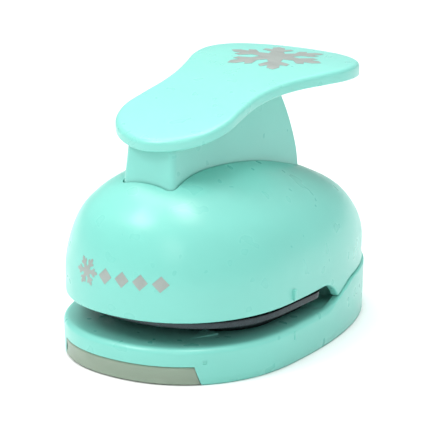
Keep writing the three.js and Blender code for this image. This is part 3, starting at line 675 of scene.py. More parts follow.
def dome_edge(y):
    """Height of the dome's lower edge: the mouth, its rounded end, then the joint line."""
    if y <= MOUTH_END_Y:
        return MOUTH_TOP
    if y <= MOUTH_END_REAR:
        drop = math.sqrt(MOUTH_END_RADIUS ** 2 - (y - MOUTH_END_Y) ** 2)
        return MOUTH_TOP - MOUTH_END_RADIUS + drop
    return seam_height(y) + GAP


DOME_LINE = through([(s, h, 0) for s, h in DOME_OUTLINE], 64)[:, :2]


def dome_point(angle, share, offset=0.0):
    """A point on the dome at a share of its height, offset mm inside its outer face."""
    size = float(np.interp(share, DOME_LINE[:, 1], DOME_LINE[:, 0])) if share > 0 else 1
    outset = SKIRT_OUTSET * max(0, -share) * DOME_HEIGHT / (MOUTH_TOP - SKIRT_LOW)
    inset = DOME_INSET + offset - outset
    x, y = oval_point(
        angle, (HALF_WIDTH - inset) * size, (FRONT_LENGTH - inset) * size ** DOME_SHRINK_FRONT,
        (REAR_LENGTH - inset) * size ** DOME_SHRINK_REAR)
    lean = DOME_LEAN * (y - WIDEST_Y) * max(share, 0) ** 0.8
    return x, y, MOUTH_TOP + (DOME_HEIGHT - offset) * share - lean


def dome_front(x, z):
    """How far forward the dome's outer face is at a place on its front."""
    share = (z - MOUTH_TOP) / DOME_HEIGHT
    y = WIDEST_Y - FRONT_LENGTH
    for _ in range(12):
        size = float(np.interp(share, DOME_LINE[:, 1], DOME_LINE[:, 0]))
        wide = abs(x) / ((HALF_WIDTH - DOME_INSET) * size)
        reach = (1 - min(wide, 1) ** OVAL_POWER) ** (1 / OVAL_POWER)
        y = WIDEST_Y - (FRONT_LENGTH - DOME_INSET) * size ** DOME_SHRINK_FRONT * reach
        share = (z - MOUTH_TOP + DOME_LEAN * (y - WIDEST_Y) * share ** 0.8) / DOME_HEIGHT
    return y


def snowflake(radius, middle, grow=0):
    """Outline of the six-armed motif, anticlockwise."""
    arm = [(0.26, 0.15), (0.45, 0.115), (0.64, 0.29), (0.77, 0.24), (0.7, 0.115), (0.88, 0.115)]
    half = [Vector(p) for p in arm]
    whole = [Vector((p.x, -p.y)) for p in half[1:]] + [Vector((1, 0))] + half[::-1]
    points = []
    for turn in range(6):
        spin = Matrix.Rotation(turn * math.pi / 3, 2)
        points += [tuple((spin @ p) * radius) for p in whole]
    if grow:
        points = grow_outline(points, grow)
    return [(x + middle[0], y + middle[1]) for x, y in points]


def circle(x, y, radius, count=32):
    return [(x + radius * math.cos(2 * math.pi * i / count),
             y + radius * math.sin(2 * math.pi * i / count)) for i in range(count)]


# ---- Shells ----------------------------------------------------------------------------
def tick_bar(side, low, high):
    """A raised mark on the side of the housing that shows the middle of the die."""
    ends = sorted((side * (HALF_WIDTH - TICK_SUNK), side * (HALF_WIDTH + TICK_PROUD)))
    near, far = [WIDEST_Y + out for out in TICK_ENDS]
    return block((ends[0], near, low), (ends[1], far, high), TICK_CHAMFER)


def screw_spots():
    return [(side * x, y) for x, y in SCREW_PLACES.values() for side in SIDES.values()]


def slot_block(half, front, rear, low, high, corner):
    """The lever slot as an upright block with rounded corners."""
    outline = []
    for x, y, start in ((half, rear, 0), (-half, rear, 90), (-half, front, 180), (half, front, 270)):
        cx, cy = x - math.copysign(corner, x), y + (corner if y == front else -corner)
        for step in range(7):
            angle = math.radians(start + 15 * step)
            outline.append((cx + corner * math.cos(angle), cy + corner * math.sin(angle)))
    return skin([[(0, 0, low), (x, y, low), (x, y, high), (0, 0, high)] for x, y in outline])


def dome_columns(wall, edge_round):
    """Columns that run from the crown inside the dome, round its edge and up its outer face."""
    uprights = [h for h in DOME_LINE[::-1, 1] if h > STRAIGHT_SHARE]
    columns = []
    for angle in ANGLES:
        edge = dome_edge(dome_point(angle, 0)[1])
        share = lambda z: (z - MOUTH_TOP) / DOME_HEIGHT
        start = share(edge + edge_round)
        lower = [STRAIGHT_SHARE + (start - STRAIGHT_SHARE) * i / 9 for i in range(9)]
        rows = [(h, 0) for h in uprights + lower]
        for step in range(5):
            turn = math.pi / 2 * step / 4
            drop, inset = edge_round * (1 - math.sin(turn)), edge_round * (1 - math.cos(turn))
            rows.append((share(edge + drop), inset))
        inner = [(h, wall - inset) for h, inset in rows]
        columns.append([dome_point(angle, h, inset) for h, inset in inner + rows[::-1]])
    return columns


def roof_height(x, y, radius):
    """Height just under the dome's skin for an upright column of this radius."""
    heights = []
    for px, py in circle(x, y, radius, 12):
        low, high = 0.0, 1.0
        for _ in range(14):
            share = (low + high) / 2
            size = float(np.interp(share, DOME_LINE[:, 1], DOME_LINE[:, 0]))
            shrink, length = ((DOME_SHRINK_FRONT, FRONT_LENGTH) if py < WIDEST_Y
                              else (DOME_SHRINK_REAR, REAR_LENGTH))
            reach = (abs(px) / ((HALF_WIDTH - DOME_INSET) * size)) ** OVAL_POWER
            reach += (abs(py - WIDEST_Y) / ((length - DOME_INSET) * size ** shrink)) ** OVAL_POWER
            low, high = (share, high) if reach < 1 else (low, share)
        heights.append(MOUTH_TOP + DOME_HEIGHT * low - DOME_LEAN * (py - WIDEST_Y) * low ** 0.8)
    return min(heights) - ROOF_COVER


def pin_bore():
    return rod_across(PIVOT_PIN + PIN_PLAY, -BORE_END, BORE_END, PIVOT_Y, PIVOT_Z, 32)


def pivot_ear(side):
    """An upright wall with a round lower end, which carries one end of the lever's pin."""
    inner, outer = side * (WEB_HALF + EAR_GAP), side * EAR_OUTER
    arc = [math.pi * (1 + i / 24) for i in range(25)]
    outline = [(PIVOT_Y + PIVOT_BOSS * math.cos(t), PIVOT_Z + PIVOT_BOSS * math.sin(t)) for t in arc]
    outline += [(PIVOT_Y + PIVOT_BOSS, EAR_TOP), (PIVOT_Y - PIVOT_BOSS, EAR_TOP)]
    count = len(outline)
    points = [(x, y, z) for x in (inner, outer) for y, z in outline]
    walls = [(i, (i + 1) % count, (i + 1) % count + count, i + count) for i in range(count)]
    return points, [tuple(range(count)), tuple(range(count, 2 * count)), *walls]


class PUNCH_OT_dome(bpy.types.Operator):
    """Upper shell: a thin dome with the lever slot, pivot ears and screw columns"""
    bl_idname = "craft_punch.dome"
    bl_label = "Dome cover"

    def execute(self, context):
        sizes = context.scene.punch_sizes
        wall = sizes.wall / MM
        fittings = [
            standing(turned([(0, SEAM_TOP + GAP), (COLUMN_RADIUS, SEAM_TOP + GAP),
                             (COLUMN_RADIUS, top), (0, top)], 32), x, y)
            for x, y in screw_spots() for top in [roof_height(x, y, COLUMN_RADIUS)]
        ]
        fittings += [pivot_ear(side) for side in SIDES.values()]
        fittings += [tick_bar(side, *DOME_TICK) for side in SIDES.values()]
        slot = slot_block(WEB_HALF + SLOT_GAP, WEB_LEAN_FRONTS[0] - SLOT_GAP,
                          PIVOT_Y + WEB_REACH + SLOT_REAR_GAP, DECK_TOP, SLOT_TOP, SLOT_CORNER)
        holes = [rod(SCREW_RADIUS + GAP, 10, 31, x, y, 24) for x, y in screw_spots()]
        add_piece(
            "dome_cover_shell", skin(dome_columns(wall, sizes.edge_round / MM)),
            "mint_plastic", "housing", "dome_cover", joined=fittings, cut=[slot, pin_bore(), *holes],
            edge=sizes.slot_round / MM)
        return {"FINISHED"}


def base_column(angle, wall, deck_round):
    """One upright slice of the base: window edge, deck, rim, outer wall, foot, underside."""
    y = base_point(angle, 0, 0)[1]
    share = ramp_share(y)
    top = seam_height(y)
    radius = deck_round + (0.35 - deck_round) * min(1, share * 6)
    path = [(-0.4, 0), (-0.3, 0.12), (-0.12, 0.3), (0, 0.5)]
    path += [(RIM_FLARE * k / 4, 0.5 + (top - radius - 0.5) * k / 4) for k in range(1, 5)]
    for step in range(1, 7):
        turn = math.pi / 2 * step / 6
        path.append((RIM_FLARE - radius * (1 - math.cos(turn)),
                     top - radius * (1 - math.sin(turn))))
    path += [(-wall + 0.2, top), (-wall, max(top - 0.2, DECK_TOP)), (-wall, DECK_TOP)]
    column = [base_point(angle, grow, z) for grow, z in path]
    x, y, _ = column[-1]
    reach = math.hypot(x, y - WIDEST_Y)
    rim = (x / reach, (y - WIDEST_Y) / reach)
    window = lambda radius, z: (rim[0] * radius, WIDEST_Y + rim[1] * radius, z)
    column += [window(WINDOW_RADIUS + 0.3, DECK_TOP), window(WINDOW_RADIUS, DECK_TOP - 0.3),
               window(WINDOW_RADIUS, DECK_BOTTOM + 0.3), window(WINDOW_RADIUS + 0.3, DECK_BOTTOM)]
    column += [base_point(angle, -wall, z) for z in (DECK_BOTTOM, 4, 0.15)]
    column.append(base_point(angle, -wall + 0.15, 0))
    return column


def lead_in_ramp(side):
    """A small wedge on the deck that lifts paper onto the die plate."""
    points = [(side * x, y, DECK_TOP - LEAD_IN_SUNK) for x, y in LEAD_IN]
    points += [(side * x, y, DECK_TOP + rise) for (x, y), rise in zip(LEAD_IN, LEAD_IN_RISE)]
    return points, [(0, 1, 2), (3, 4, 5), (0, 1, 4, 3), (1, 2, 5, 4), (2, 0, 3, 5)]


def tray_lug(side):
    x = side * TRAY_LUG
    return block((x - 1.5, TRAY_HINGE_Y - 3, 1.4), (x + 1.5, TRAY_HINGE_Y + 3, DECK_BOTTOM + 0.5))


def lip_notch():
    """The opening in the base wall that the tray's finger lip fills."""
    top = TRAY_LIP_TOP + LIP_GAP
    corners = [(side * (lip_half(z) + LIP_GAP), z) for side, z in
               ((-1, -1), (1, -1), (1, top), (-1, top))]
    front, rear = WIDEST_Y - FRONT_LENGTH - 3, WIDEST_Y - 22
    points = [(x, y, z) for y in (front, rear) for x, z in corners]
    sides = [(i, (i + 1) % 4, (i + 1) % 4 + 4, i + 4) for i in range(4)]
    return points, [(0, 1, 2, 3), (4, 5, 6, 7), *sides]


def moulding_mark():
    """A tiny sunk square beside the lip, left by the mould."""
    mark = block((-0.6, -0.35, -0.6), (0.6, 0.35, 0.6), 0.15)
    return placed(mark, Matrix.Translation(MARK_PLACE) @ Matrix.Rotation(MARK_TURN, 4, "Z"))


class PUNCH_OT_base(bpy.types.Operator):
    """Lower shell: a rounded deck with the die window, screw bosses and the tray's notch"""
    bl_idname = "craft_punch.base"
    bl_label = "Base shell"

    def execute(self, context):
        sizes = context.scene.punch_sizes
        wall, deck_round = sizes.wall / MM, sizes.deck_round / MM
        spots = screw_spots()
        bosses = [rod(BOSS_RADIUS, 3, SEAM_TOP - 0.1, x, y, 40) for x, y in spots]
        joined = bosses + [shape(side) for shape in (lead_in_ramp, tray_lug)
                           for side in SIDES.values()]
        joined += [tick_bar(side, *BASE_TICK) for side in SIDES.values()]
        cut = [lip_notch(), moulding_mark()]
        for x, y in spots:
            bore = turned([(0, 1), (SCREW_HEAD + GAP, 1), (SCREW_HEAD + GAP, DECK_BOTTOM),
                           (SCREW_RADIUS + GAP, DECK_BOTTOM), (SCREW_RADIUS + GAP, 17), (0, 17)], 32)
            cut.append(standing(bore, x, y))
        cut += [standing(turned([(0, 6), (3.8, 6), (3.8, 12), (0, 12)], 32), x, y)
                for x, y in RIVET_PLACES.values()]
        cut.append(rod_across(
            TRAY_PIN + 0.2, -BORE_END, BORE_END, TRAY_HINGE_Y, TRAY_HINGE_Z, 24))
        add_piece(
            "base_shell_moulding",
            skin([base_column(angle, wall, deck_round) for angle in ANGLES], closed_path=True),
            "mint_plastic", "housing", "base_shell", joined=joined, cut=cut)
        return {"FINISHED"}


# ---- Lever -----------------------------------------------------------------------------
def plate_top(y):
    return PLATE_Z + PLATE_SLOPE * y - PLATE_CROWN * (y - PLATE_CROWN_Y) ** 2


def plate_outline(count):
    right = [(x, y, 0) for x, y in PLATE_EDGE]
    left = [(-x, y, 0) for x, y in PLATE_EDGE[-2:0:-1]]
    return [(x, y) for x, y, _ in through(right + left, count, power=0.5, closed=True)]


def plate_thickness(y):
    """The plate grows thicker towards the palm end."""
    share = min(max(y / PALM_Y, 0), 1)
    return PLATE_THICKNESS + PALM_THICKER * share * share * (3 - 2 * share)


def plate_columns(rim):
    """Columns from the middle of the plate's underside, round its rim, to the middle on top."""
    outline = plate_outline(220)
    scales = [0, 0.12, 0.24, 0.36, 0.48, 0.6, 0.7, 0.8, 0.88, 0.95]
    inner = grow_outline(outline, -rim)
    middle = [[(x * scale, PLATE_MIDDLE_Y + (y - PLATE_MIDDLE_Y) * scale) for x, y in inner]
              for scale in scales]
    rings = [(ring, 1, 0) for ring in middle]  # outline, share of the thickness, drop from the top
    for step in range(7):
        turn = math.radians(15 * step)
        rings.append((grow_outline(outline, -rim * UNDER_ROUND * (1 - math.sin(turn))), 1,
                      -rim * UNDER_ROUND * (1 - math.cos(turn))))
    for step in range(9):
        turn = math.radians(11.25 * step)
        rings.append((grow_outline(outline, -rim * (1 - math.cos(turn))), 0,
                      rim * (1 - math.sin(turn))))
    rings += [(ring, 0, 0) for ring in reversed(middle)]
    columns = []
    for i in range(len(outline)):
        column = []
        for ring, share, drop in rings:
            x, y = ring[i]
            column.append((x, y, plate_top(y) - share * plate_thickness(y) - drop))
        columns.append(column)
    return columns


def web_foot(y):
    """Height of the web's lower edge, clear of the plunger and of the slot's rear end."""
    return float(np.interp(y, WEB_FOOT_PLACES, WEB_FOOT_HEIGHTS))


def web_top(y):
    return plate_top(y) - PLATE_THICKNESS + WEB_SEAM


def web_rear(up):
    """Where the rear arc about the pivot is at a share of the web's own height."""
    y = 20.0
    for _ in range(8):
        z = web_foot(y) + (web_top(y) - web_foot(y)) * up
        y = PIVOT_Y + math.sqrt(WEB_REACH ** 2 - (z - PIVOT_Z) ** 2)
    return y


def web_columns(front_round):
    """Columns round the lever's hollow leg, from its foot up into the plate."""
    rings = []
    for step in range(31):
        up = step / 30
        ring = []
        for side, rear, radius, start in (
                (1, False, front_round, 270), (1, True, 0.6, 0),
                (-1, True, 0.6, 90), (-1, False, front_round, 180)):
            y_edge = web_rear(up) if rear else 0
            for turn in range(9):
                angle = math.radians(start + 90 * turn / 8)
                x = side * (WEB_HALF - radius) + radius * math.cos(angle)
                ring.append((x, y_edge + radius * (math.sin(angle) + (-1 if rear else 1)), rear))
        rings.append((up, ring))
    columns = []
    for i in range(len(rings[0][1])):
        column = [(0, 0, web_foot(0))]
        for up, ring in rings:
            x, y, rear = ring[i]
            if rear:
                z = web_foot(y) + (web_top(y) - web_foot(y)) * up
            else:
                z = web_foot(WEB_FRONT) + (web_top(WEB_FRONT) - web_foot(WEB_FRONT)) * up
                y += float(np.interp(z, WEB_LEAN_HEIGHTS, WEB_LEAN_FRONTS))
                z += (web_top(y) - web_top(WEB_FRONT)) * up
            x *= float(np.interp(z, WEB_HEIGHTS, WEB_HALVES)) / WEB_HALF
            column.append((x, y, z))
        column.append((0, 0, web_top(0)))
        columns.append(column)
    return columns


class PUNCH_OT_lever(bpy.types.Operator):
    """Palm lever: a waisted plate with a crowned top on a hollow leg that turns on the pin"""
    bl_idname = "craft_punch.lever"
    bl_label = "Lever"

    def execute(self, context):
        sizes = context.scene.punch_sizes
        inner = WEB_HALF - WALL - 0.8
        end = WEB_HALF - WALL + 0.6  # the cross pieces run into the web's two walls
        hollow = block((-inner, WEB_FRONT + WALL, 30), (inner, 15, 60), 1)
        boss = rod_across(PIVOT_BOSS - 0.2, -end, end, PIVOT_Y, PIVOT_Z, 40)
        contact = rod_across(CONTACT_RADIUS, -end, end, WIDEST_Y, PIVOT_Z, 32)
        rib = block((-end, WIDEST_Y - RIB_HALF, PIVOT_Z), (end, WIDEST_Y + RIB_HALF, RIB_TOP), 0.2)
        leg = new_object("leg", skin(web_columns(sizes.web_round / MM)))
        work(leg, [hollow])
        work(leg, [boss, contact, rib], "UNION")
        add_piece(
            "lever_moulding", skin(plate_columns(sizes.lever_round / MM)),
            "mint_lever_plastic", "lever_arm", "lever", joined=[as_shape(leg)], cut=[pin_bore()])
        return {"FINISHED"}


# ---- Prints ----------------------------------------------------------------------------
def diced(shape, axis, step):
    """The shape cut across at even distances, so that it can bend that way."""
    points, faces = shape
    mesh = bpy.data.meshes.new("diced")
    mesh.from_pydata(points, [], faces)
    work_mesh = bmesh.new()
    work_mesh.from_mesh(mesh)
    bpy.data.meshes.remove(mesh)
    bmesh.ops.remove_doubles(work_mesh, verts=work_mesh.verts[:], dist=0.001)
    ends = [v.co[axis] for v in work_mesh.verts]
    normal = Vector([1.0 if k == axis else 0.0 for k in range(3)])
    at = min(ends) + step
    while at < max(ends):
        bmesh.ops.bisect_plane(
            work_mesh, geom=work_mesh.verts[:] + work_mesh.edges[:] + work_mesh.faces[:],
            plane_co=normal * at, plane_no=normal, dist=0.001)
        at += step
    work_mesh.verts.index_update()
    made = ([tuple(v.co) for v in work_mesh.verts],
            [tuple(v.index for v in f.verts) for f in work_mesh.faces])
    work_mesh.free()
    return made


def front_print(outline, thickness):
    """A motif drawn upright and wrapped onto the dome's front."""
    points, faces = flat_part([outline], 0, thickness, thickness / 4)
    shape = diced(diced((points, faces), 0, DICE), 1, DICE)
    wrapped = [(x, dome_front(x, z) - out, z) for x, z, out in shape[0]]
    return wrapped, shape[1]


class PUNCH_OT_prints(bpy.types.Operator):
    """Printed motifs: a snowflake on the palm end and a star with a row of diamonds in front"""
    bl_idname = "craft_punch.prints"
    bl_label = "Printed motifs"

    def execute(self, context):
        thickness = context.scene.punch_sizes.print_height / MM
        flat = flat_part([snowflake(LEVER_PRINT_RADIUS, (0, LEVER_PRINT_Y))], 0, thickness, thickness / 4)
        points, faces = diced(flat, 1, LEVER_DICE)
        bent = [(x, y, plate_top(y) + z) for x, y, z in points]
        add_piece("lever_snowflake_ink", (bent, faces), "silver_print", "lever_arm", "lever_print")
        star = snowflake(FRONT_STAR, (FRONT_STAR_X, FRONT_PRINT_Z))
        add_piece("front_star_ink", front_print(star, thickness), "silver_print", "housing",
                  "front_print_star")
        z, half = FRONT_PRINT_Z, FRONT_DIAMOND
        for number, x in enumerate(FRONT_DIAMOND_PLACES, 1):
            diamond = [(x + half, z), (x, z + half), (x - half, z), (x, z - half)]
            add_piece(f"front_diamond_ink_{number}", front_print(diamond, thickness),
                      "silver_print", "housing", f"front_print_dot_{number}")
        return {"FINISHED"}


# ---- Chip tray -------------------------------------------------------------------------
def bowl(grow, low, high, radius):
    """A solid cup of the tray's plan with a rounded floor edge."""
    levels = [(grow - radius * (1 - math.sin(math.radians(a))),
               low + radius * (1 - math.cos(math.radians(a)))) for a in (0, 22, 45, 67, 90)]
    levels.append((grow, high))
    columns = []
    for angle in ANGLES[::2]:
        column = [base_point(angle, out, z) for out, z in levels]
        columns.append([(0, WIDEST_Y, low), *column, (0, WIDEST_Y, high)])
    return skin(columns)


def lip_half(z):
    """Half width of the finger lip, which widens towards the table."""
    return TRAY_LIP + (TRAY_LIP_TOP - z) * LIP_SLANT


def lip_columns(inside):
    """Slices of the finger lip from one end to the other, with a rounded upper edge."""
    levels = [
        (-0.5, 0.2), (-0.25, 0.26), (-0.06, 0.45), (0, 0.75), (-0.12, 1.6), (-0.14, 2.6),
        (0, 3.7), (0.12, 4.5), (0.06, 4.9), (-0.14, 5.12), (-0.45, TRAY_LIP_TOP),
        (inside - 0.1, TRAY_LIP_TOP), (inside - 0.4, 4.9), (inside - 0.4, 0.6), (inside - 0.1, 0.2)]
    columns = []
    for i in range(81):
        column = []
        for grow, z in levels:
            end = math.acos((lip_half(z) / HALF_WIDTH) ** (OVAL_POWER / 2))
            angle = 2 * math.pi - end - (math.pi - 2 * end) * i / 80
            column.append(base_point(angle, grow, z))
        columns.append(column)
    return columns


class PUNCH_OT_tray(bpy.types.Operator):
    """Chip tray: a shallow translucent bowl with a finger lip that swings down at the front"""
    bl_idname = "craft_punch.tray"
    bl_label = "Chip tray"

    def execute(self, context):
        grow = -TRAY_SHRINK
        far = REAR_LENGTH
        inside = new_object("inside", bowl(grow - TRAY_WALL, TRAY_FLOOR + TRAY_WALL, 9, 0.6))
        work(inside, [block((-far, TRAY_REAR - TRAY_WALL, -1), (far, far, 10), 0)])
        lip = skin(lip_columns(grow), closed_path=True, wrap=False)
        ears = []
        for side in SIDES.values():
            x = side * TRAY_EAR
            low, high = x - TRAY_EAR_HALF, x + TRAY_EAR_HALF
            ears.append(block((low, TRAY_REAR - TRAY_WALL, TRAY_EAR_LOW),
                              (high, TRAY_HINGE_Y, TRAY_EAR_HIGH)))
            ears.append(rod_across(TRAY_EAR_RADIUS, low, high, TRAY_HINGE_Y, TRAY_HINGE_Z, 32))
        hole = rod_across(
            TRAY_PIN + 0.15, -TRAY_BORE_END, TRAY_BORE_END, TRAY_HINGE_Y, TRAY_HINGE_Z, 24)
        tray = new_object("tray", bowl(grow, TRAY_FLOOR, TRAY_TOP, 0.8))
        work(tray, [block((-far, TRAY_REAR, -1), (far, far, 10), 0), as_shape(inside)])
        add_piece("chip_tray_moulding", as_shape(tray), "smoked_clear_plastic", "tray",
                  "chip_tray", joined=[lip, *ears], cut=[hole], edge=0.15)
        return {"FINISHED"}


# ---- Steel works -----------------------------------------------------------------------
def plate_with_tail(half, length, shoulder):
    """Outline of a stamped plate: an oval front, rounded shoulders and a narrow tail."""
    right = []
    for step in range(1, 31):
        turn = math.radians(-90 + 3 * step)
        right.append((half * signed_power(math.cos(turn), 2 / OVAL_POWER),
                      WIDEST_Y + length * signed_power(math.sin(turn), 2 / OVAL_POWER)))
    for step in range(9):
        turn = math.radians(step * 90 / 8)
        right.append((half - SHOULDER_RADIUS * (1 - math.cos(turn)),
                      shoulder - SHOULDER_RADIUS * (1 - math.sin(turn))))
    right += [(TAIL_HALF, shoulder), (TAIL_HALF, TAIL_END)]
    return right + [(-x, y) for x, y in reversed(right)]


class PUNCH_OT_plates(bpy.types.Operator):
    """Frame of the punch: guide plate and die plate, held apart by spacers and rivets"""
    bl_idname = "craft_punch.plates"
    bl_label = "Plates, spacers and rivets"

    def execute(self, context):
        edge = context.scene.punch_sizes.steel_edge / MM
        motif = snowflake(MOTIF_RADIUS, (0, WIDEST_Y), DIE_CLEARANCE)
        rivet_holes = [circle(x, y, RIVET_HOLE) for x, y in RIVET_PLACES.values()]
        post_holes = [circle(side * POST_X, WIDEST_Y, POST_RADIUS + GAP) for side in (-1, 1)]
        add_piece(
            "guide_plate_stamping",
            flat_part([plate_with_tail(*GUIDE_PLATE), motif, *rivet_holes, *post_holes],
                      GUIDE_LOW, GUIDE_HIGH, edge),
            "dark_steel", "housing", "guide_plate")
        add_piece(
            "die_plate_stamping",
            flat_part([plate_with_tail(*DIE_PLATE), motif, *rivet_holes],
                      DIE_LOW, DIE_HIGH, edge),
            "dark_steel", "housing", "die_plate")
        low, high = DIE_HIGH + GAP, GUIDE_LOW - GAP
        for word, side in SIDES.items():
            near, far = sorted((side * SPACER_NEAR, side * SPACER_FAR))
            holes = [circle(x, y, RIVET_HOLE) for x, y in RIVET_PLACES.values() if x * side > 0]
            outline = [(near, SPACER_FRONT), (far, SPACER_FRONT), (far, TAIL_END), (near, TAIL_END)]
            add_piece(f"spacer_{word}", flat_part([outline, *holes], low, high, edge),
                      "zinc", "housing", f"frame_spacer_{word}")
        low, high = DIE_LOW - GAP, GUIDE_HIGH + GAP
        rivet = [(0, low - 1.1), (1.6, low - 1), (2.6, low - 0.75), (3.2, low - 0.25), (3.2, low),
                 (2, low), (2, high), (3.2, high), (3.2, high + 0.25), (2.6, high + 0.75),
                 (1.6, high + 1), (0, high + 1.1)]
        for word, (x, y) in RIVET_PLACES.items():
            add_piece(f"rivet_{word}", standing(turned(rivet, 40), x, y), "zinc", "housing",
                      f"frame_rivet_{word}")
        return {"FINISHED"}


def cross_recess(x, y, z, size, depth):
    """A screwdriver recess, as two tapered bars."""
    bars = []
    for wide, deep in ((size, size / 3.6), (size / 3.6, size)):
        low, high = min(z, z + depth), max(z, z + depth)
        bars.append(block((x - wide / 2, y - deep / 2, low), (x + wide / 2, y + deep / 2, high), 0))
    return bars


class PUNCH_OT_plunger(bpy.types.Operator):
    """Plunger: the acetal head that the lever presses, with the steel snowflake punch on it"""
    bl_idname = "craft_punch.plunger"
    bl_label = "Plunger and punch"

    def execute(self, context):
        top = PIVOT_Z - CONTACT_RADIUS - GAP
        disc, hub = DISC_RADIUS, HUB_RADIUS
        profile = [
            (0, HEAD_LOW), (disc - 0.3, HEAD_LOW), (disc, HEAD_LOW + 0.3), (disc, HEAD_HIGH - 0.6),
            (disc - 0.2, HEAD_HIGH - 0.2), (disc - 0.6, HEAD_HIGH), (hub + 0.8, HEAD_HIGH),
            (hub + 0.2, HEAD_HIGH + 0.3), (hub, HEAD_HIGH + 0.8), (hub, top - 0.4),
            (hub - 0.4, top), (0, top)]
        wings = block((-WING_X, WIDEST_Y - WING_Y, HEAD_LOW),
                      (WING_X, WIDEST_Y + WING_Y, HEAD_HIGH - WING_STEP), 0.4)
        holes = []
        for side in SIDES.values():
            holes.append(rod(POST_RADIUS + GAP, 20, 32, side * POST_X, WIDEST_Y, 28))
            holes.append(rod(PUNCH_HOLE_RADIUS, 20, 32, side * PUNCH_SCREW_X, WIDEST_Y, 28))
        add_piece("plunger_head_moulding", standing(turned(profile, 72), 0, WIDEST_Y),
                  "white_acetal", "plunger", "plunger_head", joined=[wings], cut=holes)
        end = PUNCH_HIGH - PUNCH_SCREW_DEPTH
        bolt_holes = [rod(PUNCH_HOLE_RADIUS, end - 1, PUNCH_HIGH + 1,
                          side * PUNCH_SCREW_X, WIDEST_Y, 24) for side in SIDES.values()]
        add_piece("punch_block", flat_part([snowflake(MOTIF_RADIUS, (0, WIDEST_Y))],
                                           PUNCH_LOW, PUNCH_HIGH, 0.05),
                  "bright_steel", "plunger", "snowflake_punch", cut=bolt_holes)
        low = HEAD_HIGH + GAP
        screw = [(0, end), (0.9, end), (1.25, end + 0.4), (1.25, low),
                 (2.6, low), (2.6, low + 0.9), (2.2, low + 1.4), (1.4, low + 1.65), (0, low + 1.7)]
        for word, side in SIDES.items():
            x = side * PUNCH_SCREW_X
            add_piece(f"punch_bolt_{word}", standing(turned(screw, 36), x, WIDEST_Y), "zinc",
                      "plunger", f"punch_screw_{word}",
                      cut=cross_recess(x, WIDEST_Y, low + 2, 2.6, -1.4))
        return {"FINISHED"}


def coil(radius, wire, turns, low, high):
    """A compression spring with closed ends, standing on the origin."""
    around, steps = 10, 40
    dead = 0.75
    columns = []
    count = int((turns + 2 * dead) * steps)
    for i in range(count + 1):
        turn = i / steps - dead
        share = min(max(turn / turns, 0), 1)
        eased = share * share * (3 - 2 * share) * 0.25 + share * 0.75
        rest = wire * (min(turn, 0) - min(turns - turn, 0)) * 0.6
        z = low + wire / 2 + dead * wire * 0.6 + (high - low - wire * (1 + dead * 1.2)) * eased + rest
        angle = 2 * math.pi * turn
        ring = []
        for k in range(around):
            spin = 2 * math.pi * k / around
            reach = radius + wire / 2 * math.cos(spin)
            ring.append((reach * math.cos(angle), reach * math.sin(angle),
                         z + wire / 2 * math.sin(spin)))
        columns.append(ring)
    return skin(columns, closed_path=True, wrap=False)


class PUNCH_OT_springs(bpy.types.Operator):
    """Return springs on their guide posts, which lift the plunger again"""
    bl_idname = "craft_punch.springs"
    bl_label = "Springs and posts"

    def execute(self, context):
        sizes = context.scene.punch_sizes
        low, high = GUIDE_HIGH + GAP, HEAD_LOW - GAP
        for word, side in SIDES.items():
            x = side * POST_X
            spring = add_piece(
                f"spring_{word}",
                standing(coil(SPRING_RADIUS, sizes.spring_wire / MM, sizes.spring_turns, low, high),
                         x, WIDEST_Y),
                "spring_steel", "housing", f"return_spring_{word}")
            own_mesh(spring)
            add_piece(f"post_{word}", rod(POST_RADIUS, GUIDE_LOW, POST_TOP, x, WIDEST_Y, 40, 0.4),
                      "bright_steel", "housing", f"guide_post_{word}")
        return {"FINISHED"}


class PUNCH_OT_fasteners(bpy.types.Operator):
    """Pins, clips and the four screws that hold the shells together"""
    bl_idname = "craft_punch.fasteners"
    bl_label = "Pins, clips and screws"

    def execute(self, context):
        pin = rod_across(PIVOT_PIN, -PIN_END, PIN_END, PIVOT_Y, PIVOT_Z, 48, 0.4)
        add_piece("lever_pin", pin, "bright_steel", "housing", "pivot_pin")
        pin = rod_across(
            TRAY_PIN, -TRAY_PIN_END, TRAY_PIN_END, TRAY_HINGE_Y, TRAY_HINGE_Z, 40, 0.25)
        add_piece("tray_hinge_pin", pin, "bright_steel", "housing", "tray_pin")
        bore = PIVOT_PIN + 0.25
        arc = lambda radius, turns: [
            (radius * math.cos(math.radians(a)), radius * math.sin(math.radians(a))) for a in turns]
        open_ring = arc(CLIP_RADIUS, range(-70, 251, 8)) + arc(bore, range(222, -43, -8))
        clip = flat_part([open_ring], -CLIP_HALF, CLIP_HALF, 0.12)
        upright = Matrix(((0, 0, 1, 0), (1, 0, 0, 0), (0, 1, 0, 0), (0, 0, 0, 1)))
        low = DECK_BOTTOM - GAP
        screw = [(0, low - 2.2), (1.6, low - 2.2), (2.3, low - 1.9), (2.6, low - 1.3), (2.6, low),
                 (SCREW_RADIUS, low), (SCREW_RADIUS, 28.6), (0.5, 30), (0, 30)]
        for word, side in SIDES.items():
            seat = Matrix.Translation((side * (EAR_OUTER + GAP + 0.5), PIVOT_Y, PIVOT_Z))
            add_piece(f"clip_{word}", placed(clip, seat @ upright), "spring_steel", "housing",
                      f"pivot_clip_{word}")
            for place, (out, y) in SCREW_PLACES.items():
                add_piece(f"shell_screw_{place}_{word}",
                          standing(turned(screw, 36), side * out, y), "zinc", "housing",
                          f"housing_screw_{place}_{word}",
                          cut=cross_recess(side * out, y, low - 2.6, 2.8, 1.5))
        return {"FINISHED"}


